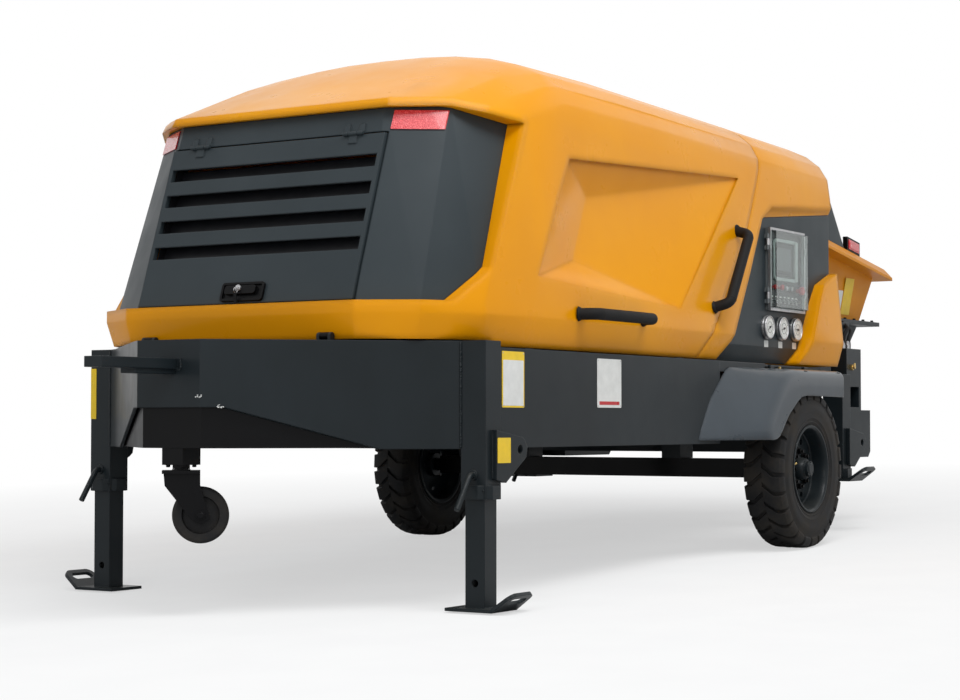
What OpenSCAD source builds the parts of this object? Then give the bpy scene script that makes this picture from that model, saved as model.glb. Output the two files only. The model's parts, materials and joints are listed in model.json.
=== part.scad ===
// Trailer mounted concrete pump: a single axle machine parked on its wheels and its front legs.
// Machine axes: X forward to the tow tongue, Y to the side with the controls, Z up.
// The level machine is built with its tyre bottoms at Z 0, then tipped by the parking tilt.
// Units are millimetres.

/* [Stance] */
// Nose-up tilt of the parked machine
park_tilt = 2.37; // [0:0.01:5]
// Stroke of a support leg between its two pin holes
leg_stroke = 400; // [300:10:500]

/* [Wheels and axle] */
// Tyre radius
wheel_r = 375; // [330:1:420]
// Tyre width
tyre_w = 198; // [160:1:240]
// Half track, machine centre to tyre centre
half_track = 1046.5; // [950:0.5:1150]
// Rim flange radius
rim_r = 206; // [170:1:240]
// Depth of the tread lugs
lug_h = 16; // [8:1:24]
// Lugs around one tyre, for each side row
lug_count = 20; // [12:1:30]
// Length of one lug round the tyre
lug_w = 68; // [40:1:90]
// Square axle beam
axle_s = 90; // [70:5:130]

/* [Front beam] */
// Front leg position ahead of the axle
leg_x = 2596; // [2200:1:3000]
// Rear leg position behind the axle
rear_leg_x = -840; // [-1000:1:-600]
// Half distance between the legs
leg_y = 922; // [800:1:1000]
// Top of the beam and of the front leg sleeves
beam_top = 897; // [800:1:1000]
// Lower edge of the beam at the legs
beam_low = 494; // [420:1:600]
// Lower edge of the beam at its nose
nose_low = 648; // [560:1:720]
// Front face of the nose
nose_x = 3290; // [3000:1:3500]
// Half width of the nose face
nose_y = 150; // [100:5:250]
// Plate thickness of the beam
beam_t = 12; // [8:1:20]
// Front end of the tow tongue
tongue_x = 3690; // [3500:10:3900]
// Width of the tow tongue
tongue_w = 84; // [70:2:120]
// Thickness of the tow tongue
tongue_t = 39; // [25:1:60]
// Top of the tow tongue
tongue_top = 827; // [780:1:880]
// Radius of the tow pin hole
tow_hole_r = 21; // [12:1:26]

/* [Support legs] */
// Outer side of a square leg sleeve
sleeve_s = 108; // [96:2:130]
// Wall of a leg sleeve
sleeve_t = 10; // [6:1:14]
// Side of the sliding column
column_s = 84; // [70:2:100]
// Wall of the sliding column
column_t = 8; // [5:1:12]
// Lower end of every sleeve
sleeve_low = 308; // [260:1:360]
// Height of the collar round the sleeve
collar_h = 52; // [30:1:80]
// Side of the collar
collar_s = 134; // [120:2:160]
// Half length of the foot plate along the machine
foot_a = 91; // [70:1:120]
// Reach of the foot plate across the machine
foot_b = 102; // [80:1:130]
// Foot plate thickness
foot_t = 12; // [8:1:20]
// Radius of the leg pins
pin_r = 12; // [8:1:16]
// Height of the pins
pin_z = 398; // [370:1:440]
// Running clearance of pins and shafts in their bores
fit_gap = 0.06; // [0.02:0.01:0.1]
// Radius of the lifting holes
lift_hole_r = 18; // [12:1:24]
// Thickness of the lifting lugs
lift_t = 20; // [12:1:30]

/* [Chassis] */
// Outer face of the side plates
side_y = 968; // [900:1:1000]
// Top of the side plates
side_top = 874; // [820:1:920]
// Lower edge of the side plates
side_low = 498; // [440:1:560]
// Rear end of the side plates
side_x = 640; // [560:10:760]
// Side plate thickness
side_t = 12; // [8:1:16]
// Middle of each main rail
rail_y = 430; // [360:10:520]
// Main rail width
rail_w = 100; // [80:5:140]
// Main rail lower edge
rail_low = 560; // [520:5:620]
// Main rail height
rail_h = 200; // [140:10:260]
// Rear end of the chassis
tail_x = -1440; // [-1560:10:-1340]
// Inner face of the rear columns
column_y = 780; // [740:2:800]

/* [Fenders] */
// Outer face of the fenders
fender_y = 1165; // [1150:1:1220]
// Top of the fenders
fender_top = 836; // [800:1:870]
// Sheet thickness of the fenders
fender_t = 6; // [4:1:12]

/* [Hood] */
// Front face of the hood band at its fold
hood_x = 2907; // [2700:1:3000]
// Half width of the flat front facet
face_y = 559; // [480:1:620]
// Half width of the hood at its fold
hood_y = 953; // [900:1:980]
// Rear end of the hood
hood_rear_x = -870; // [-1000:10:-800]
// Lower edge of the hood
hood_low = 882; // [876:1:900]
// Lower edge of the hood above the front beam
hood_low_front = 903; // [900:1:930]
// Height of the fold line
fold_z = 1000; // [960:1:1030]
// Top of the yellow band under the grille
band_z = 1047; // [1020:1:1080]
// Height of the roof lip above the grille
lip_z = 1805; // [1700:1:1900]
// Highest point of the roof
roof_z = 2112; // [2000:1:2200]
// Depth of the recessed dark front below the yellow band
recess_d = 34; // [20:1:50]
// Depth of the sculpted pockets in the hood sides
pocket_d = 80; // [30:1:95]
// Radius of the grab handles
grip_r = 20; // [12:1:24]
// Extra radius of the feet of the grab handles
grip_foot = 4; // [2:0.5:8]
// Shell thickness
shell_t = 18; // [12:1:30]
// Width of the seam between the two hood parts
seam_w = 6; // [5:1:12]
// Height of the louvre slots
slot_h = 50; // [25:1:60]
// Vertical pitch of the louvre slots
slot_pitch = 108; // [80:1:130]
// Gap round the grille door
door_gap = 5; // [5:1:10]
// Pin radius of the hood hinges
hinge_r = 8; // [6:1:12]
// Middle of each hood hinge across the machine
hinge_y = 430; // [300:10:500]
// Pin radius of the small hinges
small_r = 4; // [3:0.5:5]

/* [Controls] */
// Distance of the control recess floor from the middle plane
panel_y = 865; // [850:1:885]
// Inward reach of the recess floor below its fold
panel_in = 38; // [20:1:50]
// Height of the fold in the recess floor
panel_fold = 962; // [930:1:980]
// Control panel thickness
panel_t = 5; // [3:0.5:8]
// Gauge radius
gauge_r = 56; // [40:1:60]
// Control box tray depth
box_d = 14; // [12:1:30]
// Depth of the clear cover
dome_d = 34; // [20:1:50]
// Control box width
box_w = 410; // [300:10:460]
// Control box height
box_h = 396; // [300:2:420]
// Lower edge of the control box
box_low = 1142; // [1130:2:1200]
// Gap between the control box and the gauges
gauge_gap = 30; // [10:2:40]

/* [Hopper] */
// Top of the guard plates behind the hood
guard_top = 1930; // [1700:5:1960]
// Length of the guard plates along the rim
guard_l = 398; // [200:2:450]
// Half width of the hopper over its rim
rim_y = 830; // [700:10:900]
// Front end of the hopper rim
rim_x_front = -960; // [-1050:10:-930]
// Rear end of the hopper rim
rim_x_rear = -1885; // [-2000:5:-1750]
// Rim height at its front end
rim_z_front = 1569; // [1450:1:1650]
// Rim height at its rear end
rim_z_rear = 1447; // [1350:1:1550]
// Bottom of the yellow hopper walls
hopper_mid = 1150; // [1050:5:1250]
// Half width of the lower hopper
trough_y = 560; // [450:10:620]
// Depth of the agitator axis below the yellow walls
agitator_drop = 140; // [100:5:180]
// Depth of the upright sides of the lower hopper
trough_side = 350; // [300:5:380]
// Radius swept by the agitator paddles
agitator_r = 230; // [180:5:260]
// Bore radius of the delivery pipe
pipe_r = 75; // [60:1:90]
// Half distance between the pump cylinders
cyl_y = 150; // [130:5:170]
// Height of the pump cylinders
cyl_z = 762; // [740:1:765]
// Radius of the pump cylinders
cyl_r = 109; // [90:1:110]
// End of the delivery pipe
pipe_x = -1860; // [-1930:5:-1800]

/* [Caster] */
// Pivot of the caster ahead of the axle
caster_x = 3214; // [3000:1:3260]
// Caster wheel radius
caster_r = 105; // [80:1:130]
// Caster wheel width
caster_w = 56; // [40:2:80]
// Height of the caster wheel centre
caster_z = 251; // [200:1:280]
// Trail of the caster
caster_trail = 72; // [50:1:100]
// Direction in which the parked caster trails
caster_turn = -50; // [-180:1:180]

/* [Shown part] */
// Piece to show

/* [Hidden] */
yellow = [0.93, 0.62, 0.06];
slate = [0.17, 0.2, 0.23];
black = [0.04, 0.04, 0.045];
steel = [0.55, 0.56, 0.58];
rubber = [0.05, 0.05, 0.055];
// Foot height, so that the tilted machine meets the floor
foot_low = wheel_r - (wheel_r + (leg_x - foot_a) * sin(park_tilt)) / cos(park_tilt);
// Shift that brings the middle of the length to the origin
reach_front = tongue_x * cos(park_tilt) - (tongue_top - tongue_t - wheel_r) * sin(park_tilt);
reach_rear = rim_x_rear * cos(park_tilt) - (rim_z_rear - 42 - wheel_r) * sin(park_tilt);
frame_x = -(reach_front + reach_rear) / 2;
// Lean of the hood sides
side_lean = 0.093;
// Axis height of the agitator
agitator_z = hopper_mid - agitator_drop;
// Slope of the hood front
front_slope = 0.3305;
// Rear end of the seam line at the foot and at the roof
seam_pts = [[790, 860], [200, 1522], [10, 1813], [-60, 2200]];
// Top of a sliding column when its leg is down
column_top = pin_z + 28;
// Hinge line of the hood
hinge_x = hood_x - 4;
hinge_z = beam_top + hinge_r + 10;
// The delivery pipe lies so that the valve swings a quarter turn between the cylinders
pipe_z = cyl_z - cyl_y;
leg_names = [[leg_x, 1, 0], [leg_x, -1, 0], [rear_leg_x, 1, leg_stroke - 0.3],
  [rear_leg_x, -1, leg_stroke - 0.3]];

// Places the level machine as it stands on the floor
module park() {
  translate([frame_x, 0, wheel_r])
    rotate([0, -park_tilt, 0])
      translate([0, 0, -wheel_r])
        children();
}

// Repeats a piece on both sides
module both() {
  children();
  mirror([0, 1, 0])
    children();
}

// A prism across the machine from an outline in X and Z
module across(pts, y0, y1) {
  translate([0, y1, 0])
    rotate([90, 0, 0])
      linear_extrude(y1 - y0)
        polygon(pts);
}

// Convex body through points
module point_hull(pts) {
  hull()
    polyhedron(pts, [for (i = [2:len(pts) - 1]) [0, i - 1, i]]);
}

// Convex body through points and their mirror images
module body_hull(pts) {
  all = concat(pts, [for (p = pts) [p[0], -p[1], p[2]]]);
  point_hull(all);
}

// Wall position of the hood side at a height
function side_at(z) = hood_y - side_lean * (z - fold_z + 39);

// Front and side corners of the hood at a height, drawn in by d
function ring(z, d) = [
  [hood_x - 4 - d - front_slope * max(z - band_z, 0), face_y - 4 - 0.5 * d - 0.05 * max(z - band_z, 0), z],
  [hood_x - 130 - 0.8 * d - 0.36 * max(z - band_z, 0), face_y + 215 - 0.8 * d
    - 0.055 * max(z - band_z, 0), z],
  [hood_x - 357 - 0.8 * d - 0.45 * max(z - band_z, 0), side_at(z) - 34 - d, z],
  [hood_x - 650 - 0.8 * d - 0.45 * max(z - band_z, 0), side_at(z) - d, z]];

// Point of a rounded shoulder: half width a at the height z0, ridge at zr, turned up by the angle t
function shoulder(x, a, z0, zr, t) = [x, a * pow(cos(t), 0.77), z0 + (zr - z0) * pow(sin(t), 0.77)];

// Roof sections: place along the machine, half width, height of the shoulder's foot and of the ridge
roof_sections = [[1900, 895, lip_z - 35, roof_z + 24], [1328, 893, lip_z - 37, roof_z + 31],
  [689, 889, lip_z - 45, roof_z + 21], [-250, 884, lip_z - 53, roof_z + 1],
  [hood_rear_x, 880, lip_z - 59, roof_z - 14]];

// Lip over the dark front: a point of it, then where its line meets the first roof section
lip_line = [[2652, 0, lip_z, 90], [2652, 270, lip_z, 77], [2650, 538, lip_z, 63], [2577, 632, lip_z + 3, 53],
  [2500, 722, lip_z + 5, 43], [2382, 810, lip_z - 15, 25], [2236, 879, lip_z - 37, 6]];

function roof_pts(d) = [for (s = roof_sections, t = [0, 12, 24, 36, 48, 60, 72, 82, 90])
  shoulder(s[0] + (s[0] < hood_rear_x + 1 ? d : 0), s[1] - d, s[2], s[3] - d, t)];

// Front of the roof, from the lip up to the first section
function front_pts(d) = [for (l = lip_line, t = [0, 18, 36, 54, 72])
  let (q = shoulder(1900, 895 - d, lip_z - 35, roof_z + 24 - d, l[3]), p = [l[0] - d,
    max(l[1] - d / 2, 0), l[2]],
    h = 1 - pow(cos(t), 1.74), v = pow(sin(t), 1.74))
  [p[0] + (q[0] - p[0]) * h, p[1] + (q[1] - p[1]) * h, p[2] + (q[2] - p[2]) * v]];

// Small upright edge of the lip
function lip_pts(d) = [for (l = lip_line) [l[0] - 12 - d, max(l[1] - 8 - d / 2, 0), l[2] + 30 - d]];

// Whole outer form of the hood above its fold
module hood_form(d) {
  body_hull(concat(ring(fold_z, d), ring(band_z, d), lip_pts(d), front_pts(d), roof_pts(d),
    [[hood_rear_x + d, side_at(fold_z) - d, fold_z]]));
}

// Part of the hood that leans in under the fold
module hood_skirt(d) {
  low = hood_low - (d > 0 ? 3 : 0);
  body_hull(concat(ring(fold_z + (d > 0 ? 1 : 0), d), [[hood_rear_x + d, side_at(fold_z) - d, fold_z],
    [hood_x - 32 - d, face_y - 14 - 0.5 * d, low], [hood_x - 150 - d, face_y + 184 - d, low],
    [hood_x - 390 - d, hood_y - 72 - d, low], [hood_x - 650 - d, hood_y - 38 - d, low],
    [hood_rear_x + d, hood_y - 38 - d, low]]));
}

// Everything in front of the seam
module seam_front(shift) {
  across(concat([for (p = seam_pts) [p[0] + shift, p[1]]], [[3200, 2200], [3200, 860]]), -1100, 1100);
}

// Everything behind the seam
module seam_rear(shift) {
  across(concat([for (p = seam_pts) [p[0] - shift, p[1]]], [[-1200, 2200], [-1200, 860]]), -1100, 1100);
}

// Region of the dark front, as seen from the side, grown by g
module front_region(g) {
  translate([0, 1100, 0])
    rotate([90, 0, 0])
      linear_extrude(2200)
        offset(delta = g)
          polygon([[2655, band_z], [2544, 1132], [2478, 1184], [2215, lip_z - 43], [2500, lip_z + 2],
            [2656, lip_z - 4],
            [3300, lip_z - 4], [3300, band_z]]);
}

// Recessed dark front form
module dark_form(d) {
  body_hull(concat(ring(band_z - 40, recess_d + d), ring(lip_z + 40, recess_d + d),
    [[1900, 860 - d, band_z - 40], [1900, 840 - d, lip_z + 40]]));
}

pocket_rim = [[1894, 1657], [2203, 1163], [985, 1094], [265, 1744]];
pocket_floor = [[1613, 1534], [1770, 1259]];

// Sculpted pocket in one hood side, its faces moved inward by d
module side_pocket(d) {
  point_hull(concat([for (p = pocket_rim) [p[0], side_at(p[1]) + 60, p[1]]],
    [for (p = pocket_rim) [p[0], side_at(p[1]) - d, p[1]]],
    [for (p = pocket_floor) [p[0], side_at(p[1]) - pocket_d - d, p[1]]]));
}

// Slab along the flat front facet, between two heights
module facet_slab(z0, z1, half, d0, d1) {
  x0 = hood_x - 4 - recess_d;
  across([[x0 - d0 - front_slope * (z0 - band_z), z0], [x0 - d0 - front_slope * (z1 - band_z), z1],
    [x0 - d1 - front_slope * (z1 - band_z), z1], [x0 - d1 - front_slope * (z0 - band_z), z0]], -half, half);
}

door_z0 = band_z + door_gap;
door_z1 = lip_z - 104;
door_half = face_y - 34;

module hood_front() color(yellow) park() {
  difference() {
    union() {
      hood_form(0);
      hood_skirt(0);
    }
    seam_rear(-seam_w / 2);
    front_region(0);
    difference() {
      union() {
        hood_form(shell_t);
        hood_skirt(shell_t);
      }
      both()
        side_pocket(shell_t);
      difference() {
        front_region(14);
        dark_form(20);
      }
    }
    both()
      side_pocket(0);
    translate([2480, -1100, hood_low - 10])
      cube([600, 2200, hood_low_front - hood_low + 10]);
  }
}

// Hinge line of the grille door
module door_axis() {
  translate([hood_x - 4 - recess_d - front_slope * (door_z1 + 2.5 - band_z), 0, door_z1 + 2.5])
    rotate([0, -atan(front_slope), 0])
      translate([small_r + 4, 380, 0])
        children();
}

module hood_front_panel() color(slate) park() {
  difference() {
    intersection() {
      dark_form(0);
      front_region(-0.2);
      hood_form(shell_t);
    }
    dark_form(20);
    facet_slab(band_z - 60, door_z1 + door_gap, door_half + door_gap, -40, 90);
  }
  both()
    door_axis() {
      rotate([90, 0, 0])
        cylinder(h = 96, r = small_r, center = true, $fn = 32);
      for (s = [-1, 1])
        translate([0, s * 35, 0]) {
          rotate([90, 0, 0])
            cylinder(h = 26, r = small_r + 4, center = true, $fn = 32);
          translate([-small_r - 8, -13, 2])
            cube([9, 26, 40]);
        }
    }
}

module grille_door() color(slate) park() {
  difference() {
    union() {
      facet_slab(door_z0, door_z1, door_half, 0, 26);
      both()
        door_axis() {
          rotate([90, 0, 0])
            cylinder(h = 40, r = small_r + 4, center = true, $fn = 32);
          translate([-small_r - 8, -20, -40])
            cube([9, 40, 38]);
        }
    }
    both()
      door_axis()
        rotate([90, 0, 0])
          cylinder(h = 60, r = small_r + fit_gap, center = true, $fn = 32);
    for (i = [0:3])
      facet_slab(1568 - i * slot_pitch, 1568 + slot_h - i * slot_pitch, door_half - 18, -20, 60);
  }
  for (i = [0:3])
    facet_slab(1560 - i * slot_pitch, 1568 - i * slot_pitch, door_half - 12, 26, 60);
}

module door_latch() color(black) park() {
  facet_slab(door_z0 + 4, door_z0 + 82, 108, -14, 0);
  facet_slab(door_z0 + 20, door_z0 + 58, 84, -18, -14);
}

module reflectors() color([0.75, 0.08, 0.1]) park() {
  both()
    intersection() {
      difference() {
        dark_form(-5);
        dark_form(0);
      }
      translate([2300, face_y - 22, door_z1 + 14])
        cube([600, 170, 76]);
    }
}

// Round rod between two points
module rod(p, q, r) {
  d = q - p;
  translate(p)
    rotate([0, acos(d[2] / norm(d)), atan2(d[1], d[0])])
      cylinder(h = norm(d), r = r, $fn = 32);
}

module grip(p, q, out) {
  a = [p[0] + (q[0] - p[0]) * 0.08, p[1] + out, p[2] + (q[2] - p[2]) * 0.08];
  b = [q[0] - (q[0] - p[0]) * 0.08, q[1] + out, q[2] - (q[2] - p[2]) * 0.08];
  rod(p, a + (a - p) * grip_r / norm(a - p), grip_r + grip_foot);
  rod(a, b, grip_r);
  rod(q, b + (b - q) * grip_r / norm(b - q), grip_r + grip_foot);
}

module hood_handles() color(black) park() {
  both()
    difference() {
      union() {
        grip([330, side_at(1490) - 10, 1490], [640, side_at(1114) - 10, 1114], 76);
        grip([1905, side_at(1028) - 10, 1028], [1350, side_at(1028) - 10, 1028], 72);
      }
      hood_form(0);
    }
}

// Knuckles that hang the hood on its front hinges
module hood_knuckles() color(black) park() {
  both()
    difference() {
      union() {
        translate([hinge_x, hinge_y, hinge_z])
          rotate([90, 0, 0])
            cylinder(h = 36, r = hinge_r + 6, center = true, $fn = 48);
        translate([hinge_x - 44, hinge_y - 18, hinge_z - 9])
          cube([40, 36, 18]);
      }
      hood_skirt(0);
      translate([hinge_x, hinge_y, hinge_z])
        rotate([90, 0, 0])
          cylinder(h = 80, r = hinge_r + fit_gap, center = true, $fn = 48);
    }
}

// Outline of the control recess, grown by g
function panel_out(g) = [[600 + g, 860], [460 + g, 969], [26 + g, 1572 + g / 2], [-105, 1641 + g],
  [-1000, 1725 + g], [-1000, 1369 - g], [-886, 1369 - g], [-683 - g, 1295 - g], [-610 - g, 1203 - g],
  [-456 - g, 961], [-344 - g, 860]];

// Everything behind the upright floor of the control recess, moved inward by d
module panel_core(d) {
  translate([-1000, 0, 0])
    rotate([90, 0, 90])
      linear_extrude(1700)
        polygon([[300, 850], [panel_y - panel_in - 4 - d, 850], [panel_y - d, panel_fold],
          [panel_y - d, 1800],
          [300, 1800]]);
}

// Sloping underside over the control recess, moved up by g
module soffit(g) {
  point_hull([for (x = [60, -1010], p = [[912, 1687], [panel_y - 20, 1538], [912, 1900],
    [panel_y - 20, 1900]])
    [x, p[0], min(p[1] + g - 0.1 * (x + 96), 1960)]]);
}

// Control recess in one side of the rear hood, grown by g and its floor moved inward by d
module panel_recess(g, d) {
  difference() {
    across(panel_out(g), 700, 1100);
    panel_core(d);
    soffit(g);
  }
}

module hood_rear() color(yellow) park() {
  difference() {
    union() {
      hood_form(0);
      hood_skirt(0);
    }
    seam_front(-seam_w / 2);
    difference() {
      union() {
        hood_form(shell_t);
        hood_skirt(shell_t);
      }
      both()
        panel_recess(shell_t, shell_t);
    }
    both()
      panel_recess(0, 0);
  }
  both()
    translate([-320, panel_y - panel_in - shell_t + 2, side_top])
      cube([840, shell_t - 4, hood_low - side_top + 14]);
}

module control_panels() color(slate * 1.1) park() {
  both()
    difference() {
      intersection() {
        panel_recess(-1, 0);
        panel_core(-panel_t);
      }
      translate([-1200, 0, 0])
        cube([1200 + hood_rear_x + 1, 1200, 3000]);
      translate([-900, 0, 0])
        cube([1800, 1200, hood_low + 1]);
    }
}

// Frame on the control panel, with Y out of the panel
module on_panel() {
  translate([0, panel_y + panel_t, box_low + box_h / 2])
    children();
}

box_x = -490;

// Hinge line of the cover of the control box
module cover_axis() {
  on_panel()
    translate([box_x + box_w + 12, box_d + 4, 0])
      children();
}

module control_box() color([0.6, 0.62, 0.62]) park() {
  difference() {
    on_panel()
      difference() {
        translate([box_x, -14, -box_h / 2])
          cube([box_w, box_d + 14, box_h]);
        translate([box_x + 8, 4, 8 - box_h / 2])
          cube([box_w - 16, box_d, box_h - 16]);
      }
    panel_core(-panel_t);
  }
  cover_axis()
    for (z = [-130, 130])
      translate([0, 0, z]) {
        cylinder(h = 84, r = small_r, center = true, $fn = 32);
        for (s = [-1, 1])
          translate([0, 0, s * 28]) {
            cylinder(h = 20, r = small_r + 3, center = true, $fn = 32);
            translate([-14, 1 - box_d - 4, -10])
              cube([17, box_d - 1, 20]);
          }
      }
}

module box_cover() color([0.62, 0.63, 0.64]) park() {
  on_panel()
    difference() {
      translate([box_x - 4, box_d + 1, -box_h / 2 - 4])
        cube([box_w + 8, 14, box_h + 8]);
      translate([box_x + 9, box_d - 10, -box_h / 2 + 9])
        cube([box_w - 18, 40, box_h - 18]);
      translate([box_x + 2, box_d - 1, -box_h / 2 + 2])
        cube([box_w - 4, 10, box_h - 4]);
    }
  difference() {
    cover_axis()
      for (z = [-130, 130])
        translate([0, 0, z]) {
          cylinder(h = 32, r = small_r + 3, center = true, $fn = 32);
          translate([-14, 0, -16])
            cube([15, 7, 32]);
        }
    cover_axis()
      for (z = [-130, 130])
        translate([0, 0, z])
          cylinder(h = 60, r = small_r + fit_gap, center = true, $fn = 32);
  }
}

module cover_pane() color([0.7, 0.78, 0.76, 0.4]) park() {
  on_panel()
    difference() {
      union() {
        translate([box_x + 2.3, box_d + 3, -box_h / 2 + 2.3])
          cube([box_w - 4.6, 6, box_h - 4.6]);
        translate([box_x + 12, box_d + 4, -box_h / 2 + 12])
          cube([box_w - 24, dome_d, box_h - 24]);
      }
      translate([box_x + 15, box_d + 2, -box_h / 2 + 15])
        cube([box_w - 30, dome_d - 1, box_h - 30]);
    }
}

module gauges() color([0.8, 0.8, 0.78]) park() {
  for (i = [0:2])
    difference() {
      translate([-82 - 168 * i, panel_y + panel_t, box_low - gauge_gap - gauge_r])
        rotate([-90, 0, 0])
          translate([0, 0, -14])
            cylinder(h = 34, r = gauge_r, $fn = 48);
      panel_core(-panel_t);
    }
}

module rear_guard() color(slate) park() {
  both()
    across([[hood_rear_x - 0.2, guard_top], [hood_rear_x - 75, guard_top - 5],
      [hood_rear_x - guard_l, rim_at(hood_rear_x - guard_l)],
      [hood_rear_x - 0.2, rim_at(hood_rear_x)]], 780, 794);
  across([[hood_rear_x - 0.2, 1708], [rim_x_front + 8, 1634], [rim_x_front + 8, 1620],
    [hood_rear_x - 0.2, 1694]],
    -794, 794);
}

module front_beam() color(slate) park() {
  difference() {
    union() {
      linear_extrude_beam();
    }
    translate([0, 0, beam_low - 1])
      linear_extrude(beam_top - beam_t - beam_low + 1)
        polygon([[2500, -leg_y + 10], [leg_x + 60, -leg_y + 70], [2682, -798], [3222, -212],
          [nose_x - beam_t, -nose_y + 6], [nose_x - beam_t, nose_y - 6], [3222, 212], [2682, 798],
          [leg_x + 60, leg_y - 70], [2500, leg_y - 10]]);
    across([[2843, beam_low - 5], [3230, nose_low - 10], [3230, nose_low], [nose_x + 20, nose_low],
      [nose_x + 20, beam_low - 5]], -900, 900);
    across([[2843, beam_low - 6], [2843, beam_low], [3232, nose_low], [3232, beam_low - 6]], -900, 900);
  }
  translate([leg_x - sleeve_s / 2, -leg_y + sleeve_s / 2, beam_low])
    cube([sleeve_s, 2 * leg_y - sleeve_s, 200]);
  // Hinge ears and pins that carry the hood
  both() {
    translate([hinge_x, hinge_y, hinge_z])
      rotate([90, 0, 0])
        cylinder(h = 64, r = hinge_r, center = true, $fn = 48);
    for (s = [-1, 1]) {
      translate([hinge_x, hinge_y + s * 26, hinge_z])
        rotate([90, 0, 0])
          cylinder(h = 12, r = hinge_r + 6, center = true, $fn = 48);
      translate([hinge_x - hinge_r - 6, hinge_y + s * 26 - 6, beam_top - 1])
        cube([2 * hinge_r + 12, 12, hinge_z - beam_top + 1]);
    }
  }
}

module linear_extrude_beam() {
  translate([0, 0, beam_low])
    linear_extrude(beam_top - beam_low)
      polygon([[leg_x - 54, -leg_y + sleeve_s / 2], [leg_x + 54, -leg_y + sleeve_s / 2], [2690, -806],
        [3230, -222], [nose_x, -nose_y], [nose_x, nose_y], [3230, 222], [2690, 806],
        [leg_x + 54, leg_y - sleeve_s / 2], [leg_x - 54, leg_y - sleeve_s / 2]]);
}

module tow_tongue() color(slate) park() {
  difference() {
    translate([nose_x, -tongue_w / 2, tongue_top - tongue_t])
      cube([tongue_x - nose_x, tongue_w, tongue_t]);
    translate([tongue_x - 52, 0, tongue_top - tongue_t - 1])
      cylinder(h = tongue_t + 2, r = tow_hole_r, $fn = 48);
  }
  translate([nose_x, -tongue_w / 2 + 8, tongue_top - tongue_t - 18])
    cube([220, tongue_w - 16, 18]);
}

module chassis_frame() color(slate * 0.8) park() {
  // Side plates with their flanges
  both() {
    translate([side_x, side_y - side_t, side_low])
      cube([leg_x - sleeve_s / 2 - side_x, side_t, side_top - side_low]);
    translate([side_x, side_y - 90, side_top - side_t])
      cube([leg_x - sleeve_s / 2 - side_x, 90 - side_t, side_t]);
    translate([side_x, side_y - 90, side_low])
      cube([leg_x - sleeve_s / 2 - side_x, 90 - side_t, side_t]);
  }
  // Main rails
  both()
    translate([rear_leg_x - 200, rail_y - rail_w / 2, rail_low])
      cube([leg_x - sleeve_s / 2 - rear_leg_x + 200, rail_w, rail_h]);
  // Cross members
  for (x = [side_x, 1250, 1900])
    both()
      translate([x, rail_y + rail_w / 2, side_low + side_t])
        cube([80, side_y - side_t - rail_y - rail_w / 2, 220]);
  for (x = [-500, 400, 1250, 1900])
    translate([x, -rail_y + rail_w / 2, rail_low + 20])
      cube([80, 2 * rail_y - rail_w, 60]);
  // Plate over the wheels, under the hood
  both()
    translate([-700, rail_y - rail_w / 2, side_top - 10])
      cube([700 + side_x, 890 - rail_y + rail_w / 2, 10]);
  both()
    for (x = [-600, -60, 480])
      translate([x, rail_y - 8, rail_low + rail_h])
        cube([60, 16, side_top - 10 - rail_low - rail_h]);
  // Rest pads for the hood
  both()
    for (x = [900, 2200])
      translate([x, hood_y - 54, side_top - 1])
        cube([60, 14, hood_low - side_top]);
  // Axle brackets
  both()
    translate([-70, rail_y - rail_w / 2, wheel_r + axle_s / 2])
      cube([140, rail_w, rail_low - wheel_r - axle_s / 2]);
  // Rear cross member and tail boxes
  translate([rear_leg_x - sleeve_s / 2, -leg_y + sleeve_s / 2, 440])
    cube([sleeve_s, 2 * leg_y - sleeve_s, 200]);
  both()
    difference() {
      across([[rear_leg_x - sleeve_s / 2, 410], [tail_x + 30, 410], [tail_x, 440], [tail_x, 661],
        [rear_leg_x - sleeve_s / 2, 661]], 720, 868);
      translate([tail_x + 60, 740, 400])
        cube([360, 108, 251]);
    }
  // Columns that carry the hopper
  both()
    difference() {
      union() {
        translate([tail_x + 130, column_y, 661])
          cube([200, 88, 325]);
        translate([tail_x + 190, column_y + 8, 940])
          cube([120, 40, hopper_mid - 22 - 940]);
      }
      translate([tail_x + 160, column_y + 16, 676])
        cube([140, 90, 108]);
    }
}

module leg_sleeves() color(slate) park() {
  for (l = leg_names)
    translate([l[0], l[1] * leg_y, 0]) {
      difference() {
        union() {
          translate([-sleeve_s / 2, -sleeve_s / 2, sleeve_low])
            cube([sleeve_s, sleeve_s, (l[0] > 0 ? beam_top : column_top + leg_stroke + 16) - sleeve_low]);
          translate([0, 0, sleeve_low])
            rotate([0, 0, 22.5])
              cylinder(h = collar_h, r = collar_s / 2 / cos(22.5) * 1.04, $fn = 8);
        }
        translate([-sleeve_s / 2 + sleeve_t, -sleeve_s / 2 + sleeve_t, sleeve_low + collar_h])
          cube([sleeve_s - 2 * sleeve_t, sleeve_s - 2 * sleeve_t,
            column_top + leg_stroke + 6 - sleeve_low - collar_h]);
        translate([-column_s / 2 - 0.3, -column_s / 2 - 0.3, sleeve_low - 1])
          cube([column_s + 0.6, column_s + 0.6, collar_h + 2]);
      }
    }
}

module leg_pins() color(black) park() {
  for (l = leg_names)
    translate([l[0], l[1] * leg_y, pin_z]) {
      translate([sleeve_s / 2, 0, 0])
        rotate([0, 90, 0])
          cylinder(h = 18, r = pin_r, $fn = 24);
      translate([sleeve_s / 2 + 14, 0, 4])
        rotate([0, 145, 0])
          cylinder(h = 172, r = pin_r - 2, $fn = 24);
      translate([-sleeve_s / 2 - 32, 0, 0])
        rotate([0, 90, 0])
          cylinder(h = 32, r = pin_r, $fn = 24);
    }
}

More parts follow.
